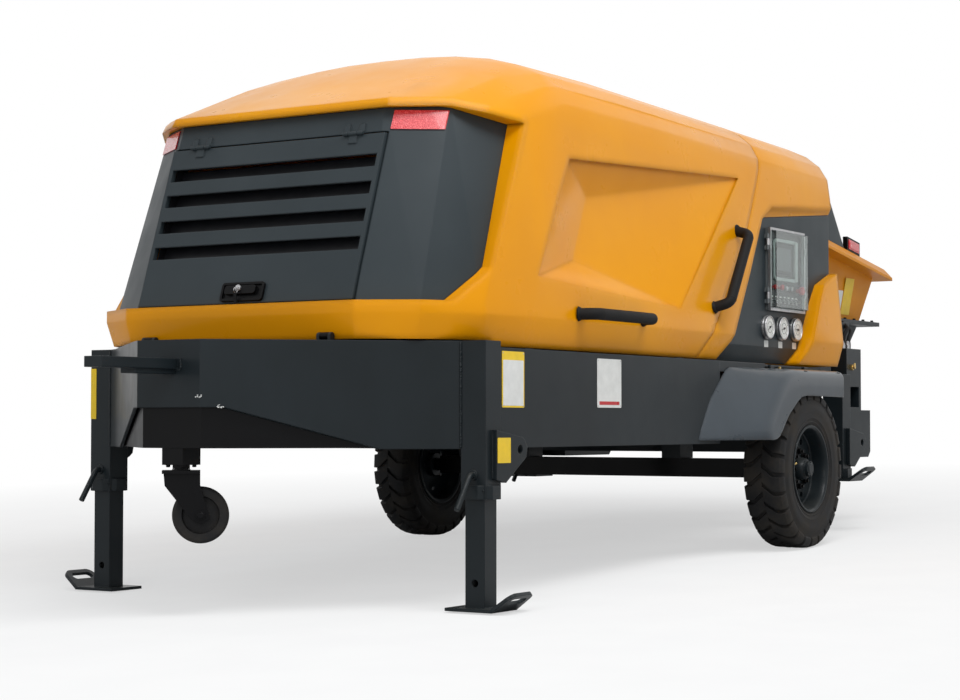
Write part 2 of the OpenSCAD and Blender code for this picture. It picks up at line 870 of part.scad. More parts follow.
module lifting_lugs() color(black) park() {
  for (l = leg_names)
    translate([l[0], l[1] * (leg_y + sleeve_s / 2 + lift_t / 2), 0])
      difference() {
        translate([0, lift_t / 2, 0])
          rotate([90, 0, 0])
            linear_extrude(lift_t)
              union() {
                polygon([[8, 565], [-60, 556], [-158, 540], [-214, 500], [-205, 462], [-59, 368], [8, 380]]);
                translate([-160, 491])
                  circle(50, $fn = 48);
              }
        translate([-160, lift_t, 491])
          rotate([90, 0, 0])
            cylinder(h = lift_t * 2, r = lift_hole_r, $fn = 48);
      }
}

module leg(i) {
  l = leg_names[i];
  translate([l[0], l[1] * leg_y, l[2]]) {
    difference() {
      translate([-column_s / 2, -column_s / 2, foot_low + foot_t - 2])
        cube([column_s, column_s, column_top + 2 - foot_low - foot_t]);
      translate([-column_s / 2 + column_t, -column_s / 2 + column_t, foot_low + foot_t + 10])
        cube([column_s - 2 * column_t, column_s - 2 * column_t, pin_z + 200 - foot_low - foot_t]);
      for (z = [pin_z, pin_z - leg_stroke])
        translate([-column_s, 0, z])
          rotate([0, 90, 0])
            cylinder(h = 2 * column_s, r = pin_r + 2, $fn = 32);
    }
    translate([-foot_a, -foot_b, foot_low])
      cube([2 * foot_a, 2 * foot_b, foot_t]);
    mirror([0, l[1] > 0 ? 0 : 1, 0])
      translate([0, foot_b - 2, foot_low])
        rotate([36, 0, 0])
          foot_loop();
  }
}

// Turned-up loop at the outer edge of a foot
module foot_loop() {
  difference() {
    linear_extrude(foot_t + 2)
      hull() {
        translate([-foot_a, 0])
          square([2 * foot_a, 2]);
        for (s = [-1, 1])
          translate([s * (foot_a - 44), 72])
            circle(36, $fn = 32);
      }
    translate([0, 0, -1])
      linear_extrude(foot_t + 4)
        hull()
          for (s = [-1, 1])
            translate([s * (foot_a - 52), 68])
              circle(18, $fn = 32);
  }
}

module leg_front_left() color(slate) park() leg(0);
module leg_front_right() color(slate) park() leg(1);
module leg_rear_left() color(slate) park() leg(2);
module leg_rear_right() color(slate) park() leg(3);

hub_in = half_track - tyre_w / 2 - 10;
stub_r = 32;
hub_r = stub_r + fit_gap;

module axle() color(black) park() {
  translate([-axle_s / 2, -hub_in, wheel_r - axle_s / 2])
    cube([axle_s, 2 * hub_in, axle_s]);
  both()
    translate([0, hub_in, wheel_r])
      rotate([-90, 0, 0])
        cylinder(h = 130, r = stub_r, $fn = 48);
}

module rim() {
  // Dished wheel with a hub, turned about its axle
  rotate([-90, 0, 0])
    difference() {
      rotate_extrude($fn = 64)
        polygon([[hub_r, -86], [60, -86], [60, -20], [150, 0], [186, -4], [186, -86], [rim_r, -92],
          [rim_r, -84],
          [194, -76], [194, 76], [rim_r, 84], [rim_r, 92], [186, 86], [186, 14], [150, 18], [74, 8],
          [74, 70], [48, 84], [hub_r, 84]]);
      for (i = [0:7])
        rotate([0, 0, i * 45 + 22.5])
          translate([132, 0, -30])
            cylinder(h = 70, r = 14, $fn = 24);
    }
}

module rim_left() color(slate * 0.9) park() {
  translate([0, half_track, wheel_r])
    rim();
}

module rim_right() color(slate * 0.9) park() {
  mirror([0, 1, 0])
    translate([0, half_track, wheel_r])
      rim();
}

module tyre() {
  w = tyre_w / 2;
  r0 = wheel_r - lug_h;
  rotate([-90, 0, 0]) {
    rotate_extrude($fn = 60)
      polygon([[rim_r - 12, -76], [rim_r, -84], [rim_r + 60, -w], [311, -w + 4], [r0, -w + 20], [r0, w - 20],
        [311, w - 4], [rim_r + 60, w], [rim_r, 84], [rim_r - 12, 76]]);
    for (i = [0:lug_count - 1])
      for (s = [-1, 1])
        rotate([0, 0, (i + 0.25 * s) * 360 / lug_count])
          translate([0, lug_w / 2, 0])
            rotate([90, 0, 0])
              linear_extrude(lug_w)
                polygon([[r0 - 10, -s * 14], [wheel_r - 1.6, -s * 14], [wheel_r - 1.6, s * (w - 16)],
                  [wheel_r - 9, s * (w - 4)], [318, s * w], [314, s * (w - 12)]]);
  }
}

module tyre_left() color(rubber) park() {
  translate([0, half_track, wheel_r])
    tyre();
}

module tyre_right() color(rubber) park() {
  mirror([0, 1, 0])
    translate([0, half_track, wheel_r])
      tyre();
}

module fender_shape(d) {
  hull() {
    across([[-350 + d, 700], [-350 + d, fender_top - d], [140, fender_top - d], [245 - d, 786 - d / 2],
      [300, 706], [457 - d, 514]], fender_y - 40, fender_y - d);
    across([[-350 + d, 700], [-350 + d, 852 - d], [610 - d, 852 - d], [800 - d, 702], [925 - d, 514]],
      side_y - 60,
      side_y - 30);
  }
}

module fenders() color(slate * 1.25) park() {
  both()
    difference() {
      fender_shape(0);
      fender_shape(fender_t);
      translate([0, side_y - 110, wheel_r])
        rotate([-90, 0, 0])
          cylinder(h = 400, r = wheel_r + 55, $fn = 96);
      translate([-600, side_y - 100, 300])
        cube([950, 400, 418]);
      translate([-600, side_y - 100, 400])
        cube([2000, 100, 600]);
      translate([300, side_y - 100, 500])
        cube([900, 400, 10]);
    }
  // Brackets from the chassis to the fender
  both()
    for (x = [-330, 70]) {
      translate([x, side_y - 98, fender_top - fender_t - 19])
        cube([30, fender_y - 2 - side_y + 98, 18]);
      translate([x, side_y - 98, fender_top - fender_t - 19])
        cube([30, 16, side_top - 10 - fender_top + fender_t + 19]);
    }
}

module caster_mount() color(black) park() {
  translate([caster_x - 50, -50, 436])
    cube([100, 100, beam_top - beam_t - 436]);
  translate([caster_x, 0, 421])
    cylinder(h = 15, r = 32, $fn = 48);
  translate([caster_x, 0, 400])
    cylinder(h = 40, r = 14, $fn = 48);
  translate([caster_x, 0, 394])
    cylinder(h = 8, r = 22, $fn = 48);
}

module caster_place() {
  translate([caster_x, 0, 0])
    rotate([0, 0, caster_turn])
      children();
}

module caster_fork() color(black) park() {
  caster_place() {
    difference() {
      union() {
        translate([-70, -62, 404])
          cube([140, 124, 12]);
        translate([0, 0, 416])
          cylinder(h = 4, r = 34, $fn = 48);
      }
      cylinder(h = 900, r = 14 + fit_gap, $fn = 48);
    }
    for (s = [-1, 1])
      translate([0, s * 40 - 4, 0])
        across([[64, 404], [60, 360], [-caster_trail + 34, caster_z - 16], [-caster_trail, caster_z - 34],
          [-caster_trail - 34, caster_z - 16], [-70, 360], [-70, 404]], 0, 8);
    translate([-caster_trail, -52, caster_z])
      rotate([-90, 0, 0])
        cylinder(h = 104, r = 11, $fn = 32);
  }
}

module caster_wheel() color(rubber) park() {
  caster_place()
    translate([-caster_trail, 0, caster_z])
      rotate([-90, 0, 0])
        rotate_extrude($fn = 48)
          polygon([[11 + fit_gap, -30], [24, -30], [26, -14], [66, -10], [70, -caster_w / 2],
            [caster_r - 10, -caster_w / 2],
            [caster_r, -caster_w / 2 + 10], [caster_r, caster_w / 2 - 10], [caster_r - 10, caster_w / 2],
            [70, caster_w / 2], [66, 10], [26, 14], [24, 30], [11 + fit_gap, 30]]);
}

module engine_block() color([0.3, 0.32, 0.3]) park() {
  translate([700, -rail_y, rail_low + rail_h])
    cube([1450, 2 * rail_y, 20]);
  translate([1150, -320, rail_low + rail_h])
    cube([1000, 640, 640]);
  translate([700, -260, rail_low + rail_h])
    cube([450, 520, 420]);
}

module radiator() color(black) park() {
  translate([2260, -470, rail_low + rail_h])
    cube([140, 940, 780]);
}

module tanks() color(black) park() {
  both()
    translate([1500, rail_y + rail_w / 2, side_low + side_t])
      cube([360, 340, 300]);
}

rim_slope = (rim_z_front - rim_z_rear) / (rim_x_front - rim_x_rear);
function rim_at(x) = rim_z_rear + rim_slope * (x - rim_x_rear);

// Underside of the grate at a place along the machine
function grate_at(x) = rim_at(x) + 0.2;

// Forward end of the hopper's side rims
ear_x = hood_rear_x - 1;

module rim_ring() {
  difference() {
    hull() {
      across([[ear_x, rim_at(ear_x)], [rim_x_rear + 34, rim_at(rim_x_rear + 34)],
        [rim_x_rear + 34, rim_at(rim_x_rear + 34) - 4], [ear_x, rim_at(ear_x) - 4]], -796, 796);
      across([[ear_x, rim_at(ear_x) - 42], [rim_x_rear, rim_at(rim_x_rear) - 42],
        [rim_x_rear, rim_at(rim_x_rear) - 58], [ear_x, rim_at(ear_x) - 58]], -rim_y, rim_y);
    }
    translate([rim_x_front + 2, -756, 1300])
      cube([200, 1512, 600]);
    hull() {
      across([[rim_x_front - 50, rim_at(rim_x_front) + 60], [-1790, rim_at(-1790) + 60],
        [-1790, 1380], [rim_x_front - 50, 1380]], -735, 735);
    }
  }
}

// Hinge line of the grate
grate_x = rim_x_front - 25;
grate_z = rim_at(grate_x) + 12;

module hopper() color(yellow) park() {
  rim_ring();
  // Hinge pins of the grate
  both()
    translate([grate_x, 600, grate_z])
      rotate([90, 0, 0]) {
        cylinder(h = 96, r = small_r + 1, center = true, $fn = 32);
        for (s = [-1, 1])
          translate([-9, -16, s * 35 - 12])
            cube([18, 24, 24]);
      }
  difference() {
    hull() {
      across([[rim_x_front - 40, rim_at(rim_x_front - 40) - 50], [-1800, rim_at(-1800) - 50],
        [-1800, rim_at(-1800) - 60], [rim_x_front - 40, rim_at(rim_x_front) - 60]], -745, 745);
      across([[rim_x_front - 90, hopper_mid + 1], [rim_x_front - 90, hopper_mid], [-1700, hopper_mid],
        [-1700, hopper_mid + 1]], -700, 700);
    }
    hull() {
      across([[rim_x_front - 50, rim_at(rim_x_front) + 60], [-1790, rim_at(-1790) + 60],
        [-1790, rim_at(-1790) - 61], [rim_x_front - 50, rim_at(rim_x_front) - 61]], -735, 735);
      across([[rim_x_front - 100, hopper_mid + 1], [rim_x_front - 100, hopper_mid - 1],
        [-1690, hopper_mid - 1],
        [-1690, hopper_mid + 1]], -690, 690);
    }
  }
}

// Tapered outer form of the lower hopper, drawn in by d
module trough_form(d) {
  hull() {
    across([[rim_x_front - 90 - d, hopper_mid - 22 + d / 12], [-1700 + d, hopper_mid - 22 + d / 12],
      [-1700 + d, hopper_mid - 23], [rim_x_front - 90 - d, hopper_mid - 23]], -690 + d, 690 - d);
    across([[rim_x_front - 100 - d, hopper_mid - trough_side], [-1640 + d, hopper_mid - trough_side],
      [-1640 + d, hopper_mid - trough_side - 1], [rim_x_front - 100 - d, hopper_mid - trough_side - 1]],
      -trough_y + d, trough_y - d);
    across([[rim_x_front - 200 - d, pipe_z - 122 + d], [-1550 + d, pipe_z - 122 + d],
      [-1550 + d, pipe_z - 121 + d], [rim_x_front - 200 - d, pipe_z - 121 + d]], -320 + d, 320 - d);
  }
}

module hopper_trough() color(slate * 0.8) park() {
  // Flange and tapered bottom
  difference() {
    union() {
      translate([-1760, -800, hopper_mid - 22])
        cube([720, 1600, 22]);
      trough_form(0);
    }
    trough_form(12);
    translate([-1690, -680, hopper_mid - 23])
      cube([630, 1360, 30]);
    both()
      translate([-1340, trough_y - 60, agitator_z])
        rotate([-90, 0, 0])
          cylinder(h = 240, r = 46, $fn = 48);
    translate([-1500, 0, pipe_z])
      rotate([0, -90, 0])
        cylinder(h = 200, r = pipe_r + 11, $fn = 64);
    both()
      translate([-1200, cyl_y, cyl_z])
        rotate([0, 90, 0])
          cylinder(h = 300, r = cyl_r, $fn = 64);
  }
}

module hopper_grate() color(slate) park() {
  x0 = rim_x_front - 42;
  x1 = -1812;
  for (y = concat([-745, 737], [for (k = [-6:6]) k * 105 - 4]))
    across([[x0, grate_at(x0)], [x1, grate_at(x1)], [x1, grate_at(x1) + 18], [x0, grate_at(x0) + 18]],
      y, y + 8);
  for (x = [x0 - 12, -1240, -1500, x1])
    across([[x + 12, grate_at(x + 12)], [x, grate_at(x)], [x, grate_at(x) + 18],
      [x + 12, grate_at(x + 12) + 18]],
      -745, 745);
  both()
    difference() {
      translate([grate_x, 600, grate_z])
        rotate([90, 0, 0]) {
          cylinder(h = 40, r = small_r + 5, center = true, $fn = 32);
          translate([-24, -9, -20])
            cube([22, 12, 40]);
        }
      translate([grate_x, 600, grate_z])
        rotate([90, 0, 0])
          cylinder(h = 60, r = small_r + 1 + fit_gap, center = true, $fn = 32);
    }
}

module agitator() color(steel) park() {
  translate([-1340, 0, agitator_z])
    both() {
      rotate([-90, 0, 0])
        translate([0, 0, 330])
          cylinder(h = 420, r = 28, $fn = 32);
      for (k = [0:2])
        rotate([0, k * 120, 0])
          translate([-8, 340 + 70 * k, 0])
            cube([16, 40, agitator_r - 4]);
    }
}

module agitator_drives() color(black) park() {
  both()
    difference() {
      union() {
        translate([-1340, 640, agitator_z])
          rotate([-90, 0, 0])
            cylinder(h = 70, r = 88, $fn = 48);
        translate([-1340, 755, agitator_z])
          rotate([-90, 0, 0])
            cylinder(h = column_y - 5 - 755, r = 62, $fn = 48);
        translate([-1400, 640, agitator_z - 70])
          cube([120, column_y - 5 - 640, 60]);
      }
      trough_form(0);
      translate([-1340, 600, agitator_z])
        rotate([-90, 0, 0])
          cylinder(h = 155, r = 28 + fit_gap, $fn = 48);
    }
}

module valve_tube(r, x0) {
  translate([x0, 0, pipe_z])
    rotate([0, 90, 0])
      cylinder(h = -1380 - x0 + 2, r = r, $fn = 48);
  hull() {
    translate([-1380, 0, pipe_z])
      rotate([0, 90, 0])
        cylinder(h = 4, r = r, $fn = 32);
    translate([-1182, cyl_y, cyl_z])
      rotate([0, 90, 0])
        cylinder(h = 4, r = r, $fn = 32);
  }
  translate([-1180, cyl_y, cyl_z])
    rotate([0, 90, 0])
      cylinder(h = 44 + (r > pipe_r ? 0 : 1), r = r, $fn = 48);
}

module swing_valve() color(steel) park() {
  // S-shaped tube that swings between the two cylinders
  difference() {
    valve_tube(pipe_r + 14, -1482);
    valve_tube(pipe_r, -1483);
  }
}

module delivery_pipe() color(steel) park() {
  difference() {
    union() {
      translate([-1500, 0, pipe_z])
        rotate([0, -90, 0])
          cylinder(h = -1500 - pipe_x, r = pipe_r + 11, $fn = 64);
      translate([pipe_x, 0, pipe_z])
        rotate([0, 90, 0])
          cylinder(h = 20, r = pipe_r + 26, $fn = 64);
      translate([-1504, 0, pipe_z])
        rotate([0, 90, 0])
          cylinder(h = 64, r = pipe_r + 28, $fn = 64);
    }
    translate([-1400, 0, pipe_z])
      rotate([0, -90, 0])
        cylinder(h = 600, r = pipe_r, $fn = 64);
    translate([-1488, 0, pipe_z])
      rotate([0, 90, 0])
        cylinder(h = 80, r = pipe_r + 14 + fit_gap, $fn = 64);
  }
}

module pump_cylinders() color(black) park() {
  difference() {
    union() {
      both()
        translate([-1128, cyl_y, cyl_z])
          rotate([0, 90, 0])
            cylinder(h = 1530, r = cyl_r, $fn = 48);
      for (x = [-490, 330])
        translate([x, -cyl_y - 80, rail_low + 80])
          cube([60, 2 * cyl_y + 160, 60]);
      translate([400, -330, rail_low + 80])
        cube([260, 660, 260]);
    }
    both()
      translate([-1130, cyl_y, cyl_z])
        rotate([0, 90, 0])
          cylinder(h = 120, r = pipe_r + 10, $fn = 48);
  }
}

module tail_lamps() color(black) park() {
  both()
    across([[-1486, rim_at(-1486) + 0.2], [-1309, rim_at(-1309) + 0.2], [-1309, rim_at(-1309) + 74],
      [-1486, rim_at(-1486) + 74]], 770, 796);
}

front_beam();
tow_tongue();
chassis_frame();
leg_sleeves();
leg_pins();
lifting_lugs();
axle();
rim_left();
rim_right();
tyre_left();
tyre_right();
fenders();
caster_mount();
caster_fork();
caster_wheel();
leg_front_left();
leg_front_right();
leg_rear_left();
leg_rear_right();
hood_front();
hood_front_panel();
grille_door();
door_latch();
reflectors();
hood_handles();
hood_knuckles();
hood_rear();
control_panels();
control_box();
box_cover();
cover_pane();
gauges();
rear_guard();
engine_block();
radiator();
tanks();
hopper();
hopper_trough();
hopper_grate();
agitator();
agitator_drives();
swing_valve();
delivery_pipe();
pump_cylinders();
tail_lamps();
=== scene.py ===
"""Studio scene of a trailer mounted concrete pump.

Lengths are metres. Places on the machine are given in the level machine's own axes
(X forward from the axle, Y to the control side, Z up from the tyre bottoms) and the
PARK matrix takes them to the parked, slightly nose-up row frame of the CAD model.
"""

import json
import math
import random

import bmesh
import bpy
from mathutils import Matrix, Vector
from mathutils.bvhtree import BVHTree


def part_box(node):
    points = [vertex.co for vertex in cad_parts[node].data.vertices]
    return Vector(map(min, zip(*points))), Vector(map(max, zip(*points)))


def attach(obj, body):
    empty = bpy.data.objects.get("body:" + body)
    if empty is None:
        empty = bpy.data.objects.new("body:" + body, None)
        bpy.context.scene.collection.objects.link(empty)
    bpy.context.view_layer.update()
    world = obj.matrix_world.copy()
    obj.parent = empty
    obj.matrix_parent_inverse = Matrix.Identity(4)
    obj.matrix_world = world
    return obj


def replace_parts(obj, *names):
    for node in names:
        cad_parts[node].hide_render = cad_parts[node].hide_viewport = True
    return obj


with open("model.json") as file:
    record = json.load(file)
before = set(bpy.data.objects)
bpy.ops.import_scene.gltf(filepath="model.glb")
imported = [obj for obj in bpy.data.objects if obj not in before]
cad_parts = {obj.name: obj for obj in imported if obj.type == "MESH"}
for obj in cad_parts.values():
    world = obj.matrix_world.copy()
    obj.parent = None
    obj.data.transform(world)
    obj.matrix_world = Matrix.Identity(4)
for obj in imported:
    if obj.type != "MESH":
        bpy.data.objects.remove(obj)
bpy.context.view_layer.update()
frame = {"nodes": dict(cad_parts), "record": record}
NODES = frame["nodes"]
BODY_OF = {n: b for b, ns in frame["record"]["behaviour"]["bodies"].items() for n in ns}

# Placement
WHEEL_R = 0.375
PARK_TILT = math.radians(2.37)
tyre_low, tyre_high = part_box("tyre_left")
AXLE_X = (tyre_low[0] + tyre_high[0]) / 2
PARK = (
    Matrix.Translation((AXLE_X, 0, WHEEL_R))
    @ Matrix.Rotation(-PARK_TILT, 4, "Y")
    @ Matrix.Translation((0, 0, -WHEEL_R))
)


def put(obj):
    """Links an object to the scene and hands it back."""
    bpy.context.scene.collection.objects.link(obj)
    return obj


# Camera
IMAGE_W, IMAGE_H = 960, 700
FOCAL_PX = 2041.5
CENTRE_Y_PX = 356.9
SENSOR = 36.0
CAMERA_AT = Vector((9.0267, 4.9690, 0.5874))
CAMERA_YAW = math.radians(212.21)
CAMERA_PITCH = math.radians(1.88)


def make_camera():
    turn = PARK.to_3x3()
    level = math.cos(CAMERA_PITCH)
    look = turn @ Vector((math.cos(CAMERA_YAW) * level, math.sin(CAMERA_YAW) * level,
                          math.sin(CAMERA_PITCH)))
    side = look.cross(turn @ Vector((0, 0, 1))).normalized()
    up = side.cross(look)
    data = bpy.data.cameras.new("camera")
    data.sensor_width = SENSOR
    data.lens = FOCAL_PX / IMAGE_W * SENSOR
    data.shift_y = (CENTRE_Y_PX - IMAGE_H / 2) / IMAGE_W
    data.clip_end = 200
    camera = put(bpy.data.objects.new("camera", data))
    place = Matrix((side, up, -look)).transposed().to_4x4()
    place.translation = PARK @ CAMERA_AT
    camera.matrix_world = place
    bpy.context.scene.camera = camera


make_camera()


# Materials
class Nodes:
    """A short way to write a material's node tree."""

    def __init__(self, name):
        self.material = bpy.data.materials.new(name)
        self.material.use_nodes = True
        self.tree = self.material.node_tree
        self.tree.nodes.clear()
        self.out = self.add("OutputMaterial")
        self.coords = self.add("TexCoord").outputs["Object"]

    def add(self, kind, **values):
        node = self.tree.nodes.new("ShaderNode" + kind)
        for key, value in values.items():
            if key in node.inputs:
                node.inputs[key].default_value = value
            else:
                setattr(node, key, value)
        return node

    def link(self, source, target):
        self.tree.links.new(source, target)

    def noise(self, scale, detail=4.0, rough=0.55, stretch=None):
        node = self.add("TexNoise", Scale=scale, Detail=detail, Roughness=rough)
        source = self.coords
        if stretch:
            mapping = self.add("Mapping")
            mapping.inputs["Scale"].default_value = stretch
            self.link(source, mapping.inputs["Vector"])
            source = mapping.outputs["Vector"]
        self.link(source, node.inputs["Vector"])
        return node.outputs["Fac"]

    def ramp(self, source, low, high, out_low=0.0, out_high=1.0):
        node = self.add("MapRange", clamp=True)
        node.inputs["From Min"].default_value = low
        node.inputs["From Max"].default_value = high
        node.inputs["To Min"].default_value = out_low
        node.inputs["To Max"].default_value = out_high
        self.link(source, node.inputs["Value"])
        return node.outputs["Result"]

    def times(self, a, b):
        node = self.add("Math", operation="MULTIPLY")
        self.link(a, node.inputs[0])
        if isinstance(b, (int, float)):
            node.inputs[1].default_value = b
        else:
            self.link(b, node.inputs[1])
        return node.outputs[0]

    def mix(self, fac, a, b):
        node = self.add("Mix", data_type="RGBA")
        self.link(fac, node.inputs["Factor"])
        for socket, value in ((node.inputs[6], a), (node.inputs[7], b)):
            if isinstance(value, tuple):
                socket.default_value = (*value, 1.0)
            else:
                self.link(value, socket)
        return node.outputs[2]

    def upward(self, low=0.5, high=1.0):
        """How far a face looks up, for settled dust."""
        normal = self.add("NewGeometry").outputs["Normal"]
        split = self.add("SeparateXYZ")
        self.link(normal, split.inputs[0])
        return self.ramp(split.outputs["Z"], low, high)

    def bump(self, source, strength, distance, radius=0.0):
        node = self.add("Bump", Strength=strength, Distance=distance)
        self.link(source, node.inputs["Height"])
        if radius:
            bevel = self.add("Bevel", samples=4)
            bevel.inputs["Radius"].default_value = radius
            self.link(bevel.outputs["Normal"], node.inputs["Normal"])
        return node.outputs["Normal"]

    def surface(self, shader):
        self.link(shader, self.out.inputs["Surface"])
        return self.material


def srgb(*colour):
    """Linear values of an sRGB colour given as 0 to 255."""
    return tuple(((v / 255 + 0.055) / 1.055) ** 2.4 if v > 10 else v / 255 / 12.92 for v in colour)


def paint(name, colour, dark, rough, coat=0.0, dust=None, edge=0.003, grain=0.08, streak=0.25,
          specular=0.35):
    """Sprayed paint: soft tone changes, faint streaks, settled dust and a fine orange-peel bump."""
    n = Nodes(name)
    tone = n.ramp(n.noise(1.4, 4.0), 0.35, 0.7)
    streaks = n.times(n.ramp(n.noise(5.0, 5.0, stretch=(1.6, 1.6, 0.35)), 0.5, 0.8), streak)
    base = n.mix(tone, dark, colour)
    base = n.mix(streaks, base, tuple(0.8 * v for v in dark))
    if dust:
        settled = n.times(n.times(n.upward(), n.ramp(n.noise(9.0, 8.0), 0.3, 0.75)), dust)
        base = n.mix(settled, base, srgb(176, 170, 158))
    shader = n.add("BsdfPrincipled", **{"Coat Weight": coat, "Coat Roughness": 0.1,
                                        "Specular IOR Level": specular})
    n.link(base, shader.inputs["Base Color"])
    wear = n.ramp(n.noise(6.0, 4.0), 0.3, 0.7, rough - 0.04, rough + 0.05)
    n.link(wear, shader.inputs["Roughness"])
    n.link(n.bump(n.noise(260.0, 1.0), grain, 0.0003, edge), shader.inputs["Normal"])
    return n.surface(shader.outputs[0])


def metal(name, colour, rough):
    """Bare metal with brushed lines."""
    n = Nodes(name)
    base = n.mix(n.ramp(n.noise(16.0, 6.0), 0.35, 0.7), tuple(0.72 * v for v in colour), colour)
    shader = n.add("BsdfPrincipled", Metallic=1.0)
    n.link(base, shader.inputs["Base Color"])
    lines = n.noise(30.0, 6.0, stretch=(40.0, 40.0, 2.0))
    n.link(n.ramp(lines, 0.3, 0.7, rough - 0.06, rough + 0.12), shader.inputs["Roughness"])
    n.link(n.bump(lines, 0.12, 0.0004, 0.001), shader.inputs["Normal"])
    return n.surface(shader.outputs[0])


def rubber(name, colour, dusty):
    """Matt rubber with dusty patches."""
    n = Nodes(name)
    patches = n.ramp(n.noise(7.0, 8.0), 0.42, 0.72)
    base = n.mix(patches, colour, dusty)
    shader = n.add("BsdfPrincipled", **{"Specular IOR Level": 0.2})
    n.link(base, shader.inputs["Base Color"])
    n.link(n.ramp(patches, 0.0, 1.0, 0.62, 0.85), shader.inputs["Roughness"])
    n.link(n.bump(n.noise(160.0, 6.0), 0.35, 0.0012, 0.003), shader.inputs["Normal"])
    return n.surface(shader.outputs[0])


def plastic(name, colour, rough):
    """Moulded plastic or a printed plate."""
    n = Nodes(name)
    base = n.mix(n.ramp(n.noise(22.0, 5.0), 0.3, 0.75), tuple(0.86 * v for v in colour), colour)
    shader = n.add("BsdfPrincipled")
    n.link(base, shader.inputs["Base Color"])
    wear = n.ramp(n.noise(40.0, 4.0), 0.3, 0.7, rough - 0.04, rough + 0.06)
    n.link(wear, shader.inputs["Roughness"])
    n.link(n.bump(n.noise(600.0, 2.0), 0.06, 0.0003, 0.001), shader.inputs["Normal"])
    return n.surface(shader.outputs[0])


def lens(name, colour):
    """Moulded lens with a fine honeycomb under its surface."""
    n = Nodes(name)
    cells = n.add("TexVoronoi", feature="DISTANCE_TO_EDGE", Scale=150.0)
    n.link(n.coords, cells.inputs["Vector"])
    ridge = n.ramp(cells.outputs["Distance"], 0.0, 0.12)
    base = n.mix(ridge, tuple(min(1.0, 1.5 * v + 0.12) for v in colour), colour)
    shader = n.add("BsdfPrincipled", Roughness=0.16, **{"Coat Weight": 0.5})
    n.link(base, shader.inputs["Base Color"])
    n.link(n.bump(ridge, 0.25, 0.001), shader.inputs["Normal"])
    return n.surface(shader.outputs[0])


def clear_pane(name):
    """Clear hard plastic with a few fine scratches."""
    n = Nodes(name)
    shader = n.add("BsdfPrincipled", IOR=1.45, **{"Base Color": (0.86, 0.93, 0.91, 1.0)})
    shader.inputs["Transmission Weight"].default_value = 1.0
    scratches = n.noise(60.0, 6.0, stretch=(1.0, 1.0, 12.0))
    n.link(n.ramp(scratches, 0.45, 0.8, 0.02, 0.22), shader.inputs["Roughness"])
    n.link(n.bump(scratches, 0.05, 0.0002), shader.inputs["Normal"])
    return n.surface(shader.outputs[0])


YELLOW = paint("hood_yellow", srgb(238, 160, 0), srgb(231, 151, 0), 0.3, coat=0.16, edge=0.04,
               grain=0.03, streak=0.05, specular=0.1)
HOPPER_YELLOW = paint("hopper_yellow", srgb(230, 150, 4), srgb(212, 134, 6), 0.42, coat=0.06,
                      dust=0.12, edge=0.006, specular=0.14)
SLATE = paint("slate_panel", srgb(52, 60, 64), srgb(44, 52, 56), 0.42, coat=0.03, dust=0.06,
              edge=0.008, streak=0.15, specular=0.2)
SLATE_FRAME = paint("slate_frame", srgb(29, 36, 40), srgb(23, 29, 32), 0.38, coat=0.06, dust=0.1,
                    edge=0.006, specular=0.18)
SLATE_FENDER = paint("slate_fender", srgb(63, 71, 78), srgb(53, 60, 66), 0.3, coat=0.25, dust=0.08,
                     edge=0.02, specular=0.3)
BLACK = paint("black_paint", srgb(13, 13, 15), srgb(8, 8, 9), 0.38, coat=0.08, dust=0.05,
              edge=0.003, specular=0.08)
ENGINE = paint("engine_paint", srgb(48, 50, 50), srgb(34, 36, 36), 0.6, dust=0.3)
STEEL = metal("bare_steel", (0.56, 0.56, 0.57), 0.34)
BRASS = metal("brass", (0.78, 0.56, 0.22), 0.3)
TYRE = rubber("tyre_rubber", srgb(27, 27, 28), srgb(56, 52, 47))
GRIP = rubber("grip_rubber", srgb(18, 18, 19), srgb(30, 30, 30))
RED_LENS = lens("red_lens", srgb(200, 26, 40))
RED_PLASTIC = plastic("red_plastic", srgb(196, 20, 28), 0.3)
BOX_GREY = paint("box_grey", srgb(112, 118, 120), srgb(92, 98, 100), 0.4, coat=0.2, dust=0.1,
                 edge=0.002)
DARK_PANEL = plastic("dark_panel", srgb(20, 21, 25), 0.35)
PALE_TRIM = plastic("pale_trim", srgb(176, 186, 184), 0.35)
WHITE_PLATE = plastic("white_plate", srgb(232, 233, 230), 0.4)
YELLOW_PLATE = plastic("yellow_plate", srgb(246, 206, 24), 0.38)
GAUGE_FACE = plastic("gauge_face", srgb(236, 236, 230), 0.25)
PANE = clear_pane("clear_pane")

LEGS = ("leg_front_left", "leg_front_right", "leg_rear_left", "leg_rear_right")
LOOKS = {
    YELLOW: ("hood_front", "hood_rear"),
    HOPPER_YELLOW: ("hopper",),
    SLATE: ("grille_door", "hood_front_panel", "control_panels", "rear_guard"),
    SLATE_FRAME: ("rim_left", "rim_right", "leg_pins", "lifting_lugs", "hopper_trough",
                  "hopper_grate", "chassis_frame", "front_beam", "tow_tongue", "leg_sleeves",
                  *LEGS),
    SLATE_FENDER: ("fenders",),
    BLACK: ("axle", "caster_mount", "caster_fork", "door_latch", "hood_knuckles", "radiator",
            "tanks", "agitator_drives", "pump_cylinders", "tail_lamps"),
    ENGINE: ("engine_block",),
    STEEL: ("box_cover", "gauges", "agitator", "swing_valve", "delivery_pipe"),
    TYRE: ("tyre_left", "tyre_right", "caster_wheel"),
    GRIP: ("hood_handles",),
    RED_LENS: ("reflectors",),
    BOX_GREY: ("control_box",),
    PANE: ("cover_pane",),
}
for look, names in LOOKS.items():
    for name in names:
        NODES[name].data.materials.clear()
        NODES[name].data.materials.append(look)


def finish_piece(obj, body, look):
    """Gives a piece its look and body."""
    obj.data.materials.clear()
    obj.data.materials.append(look)
    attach(obj, body)
    return obj


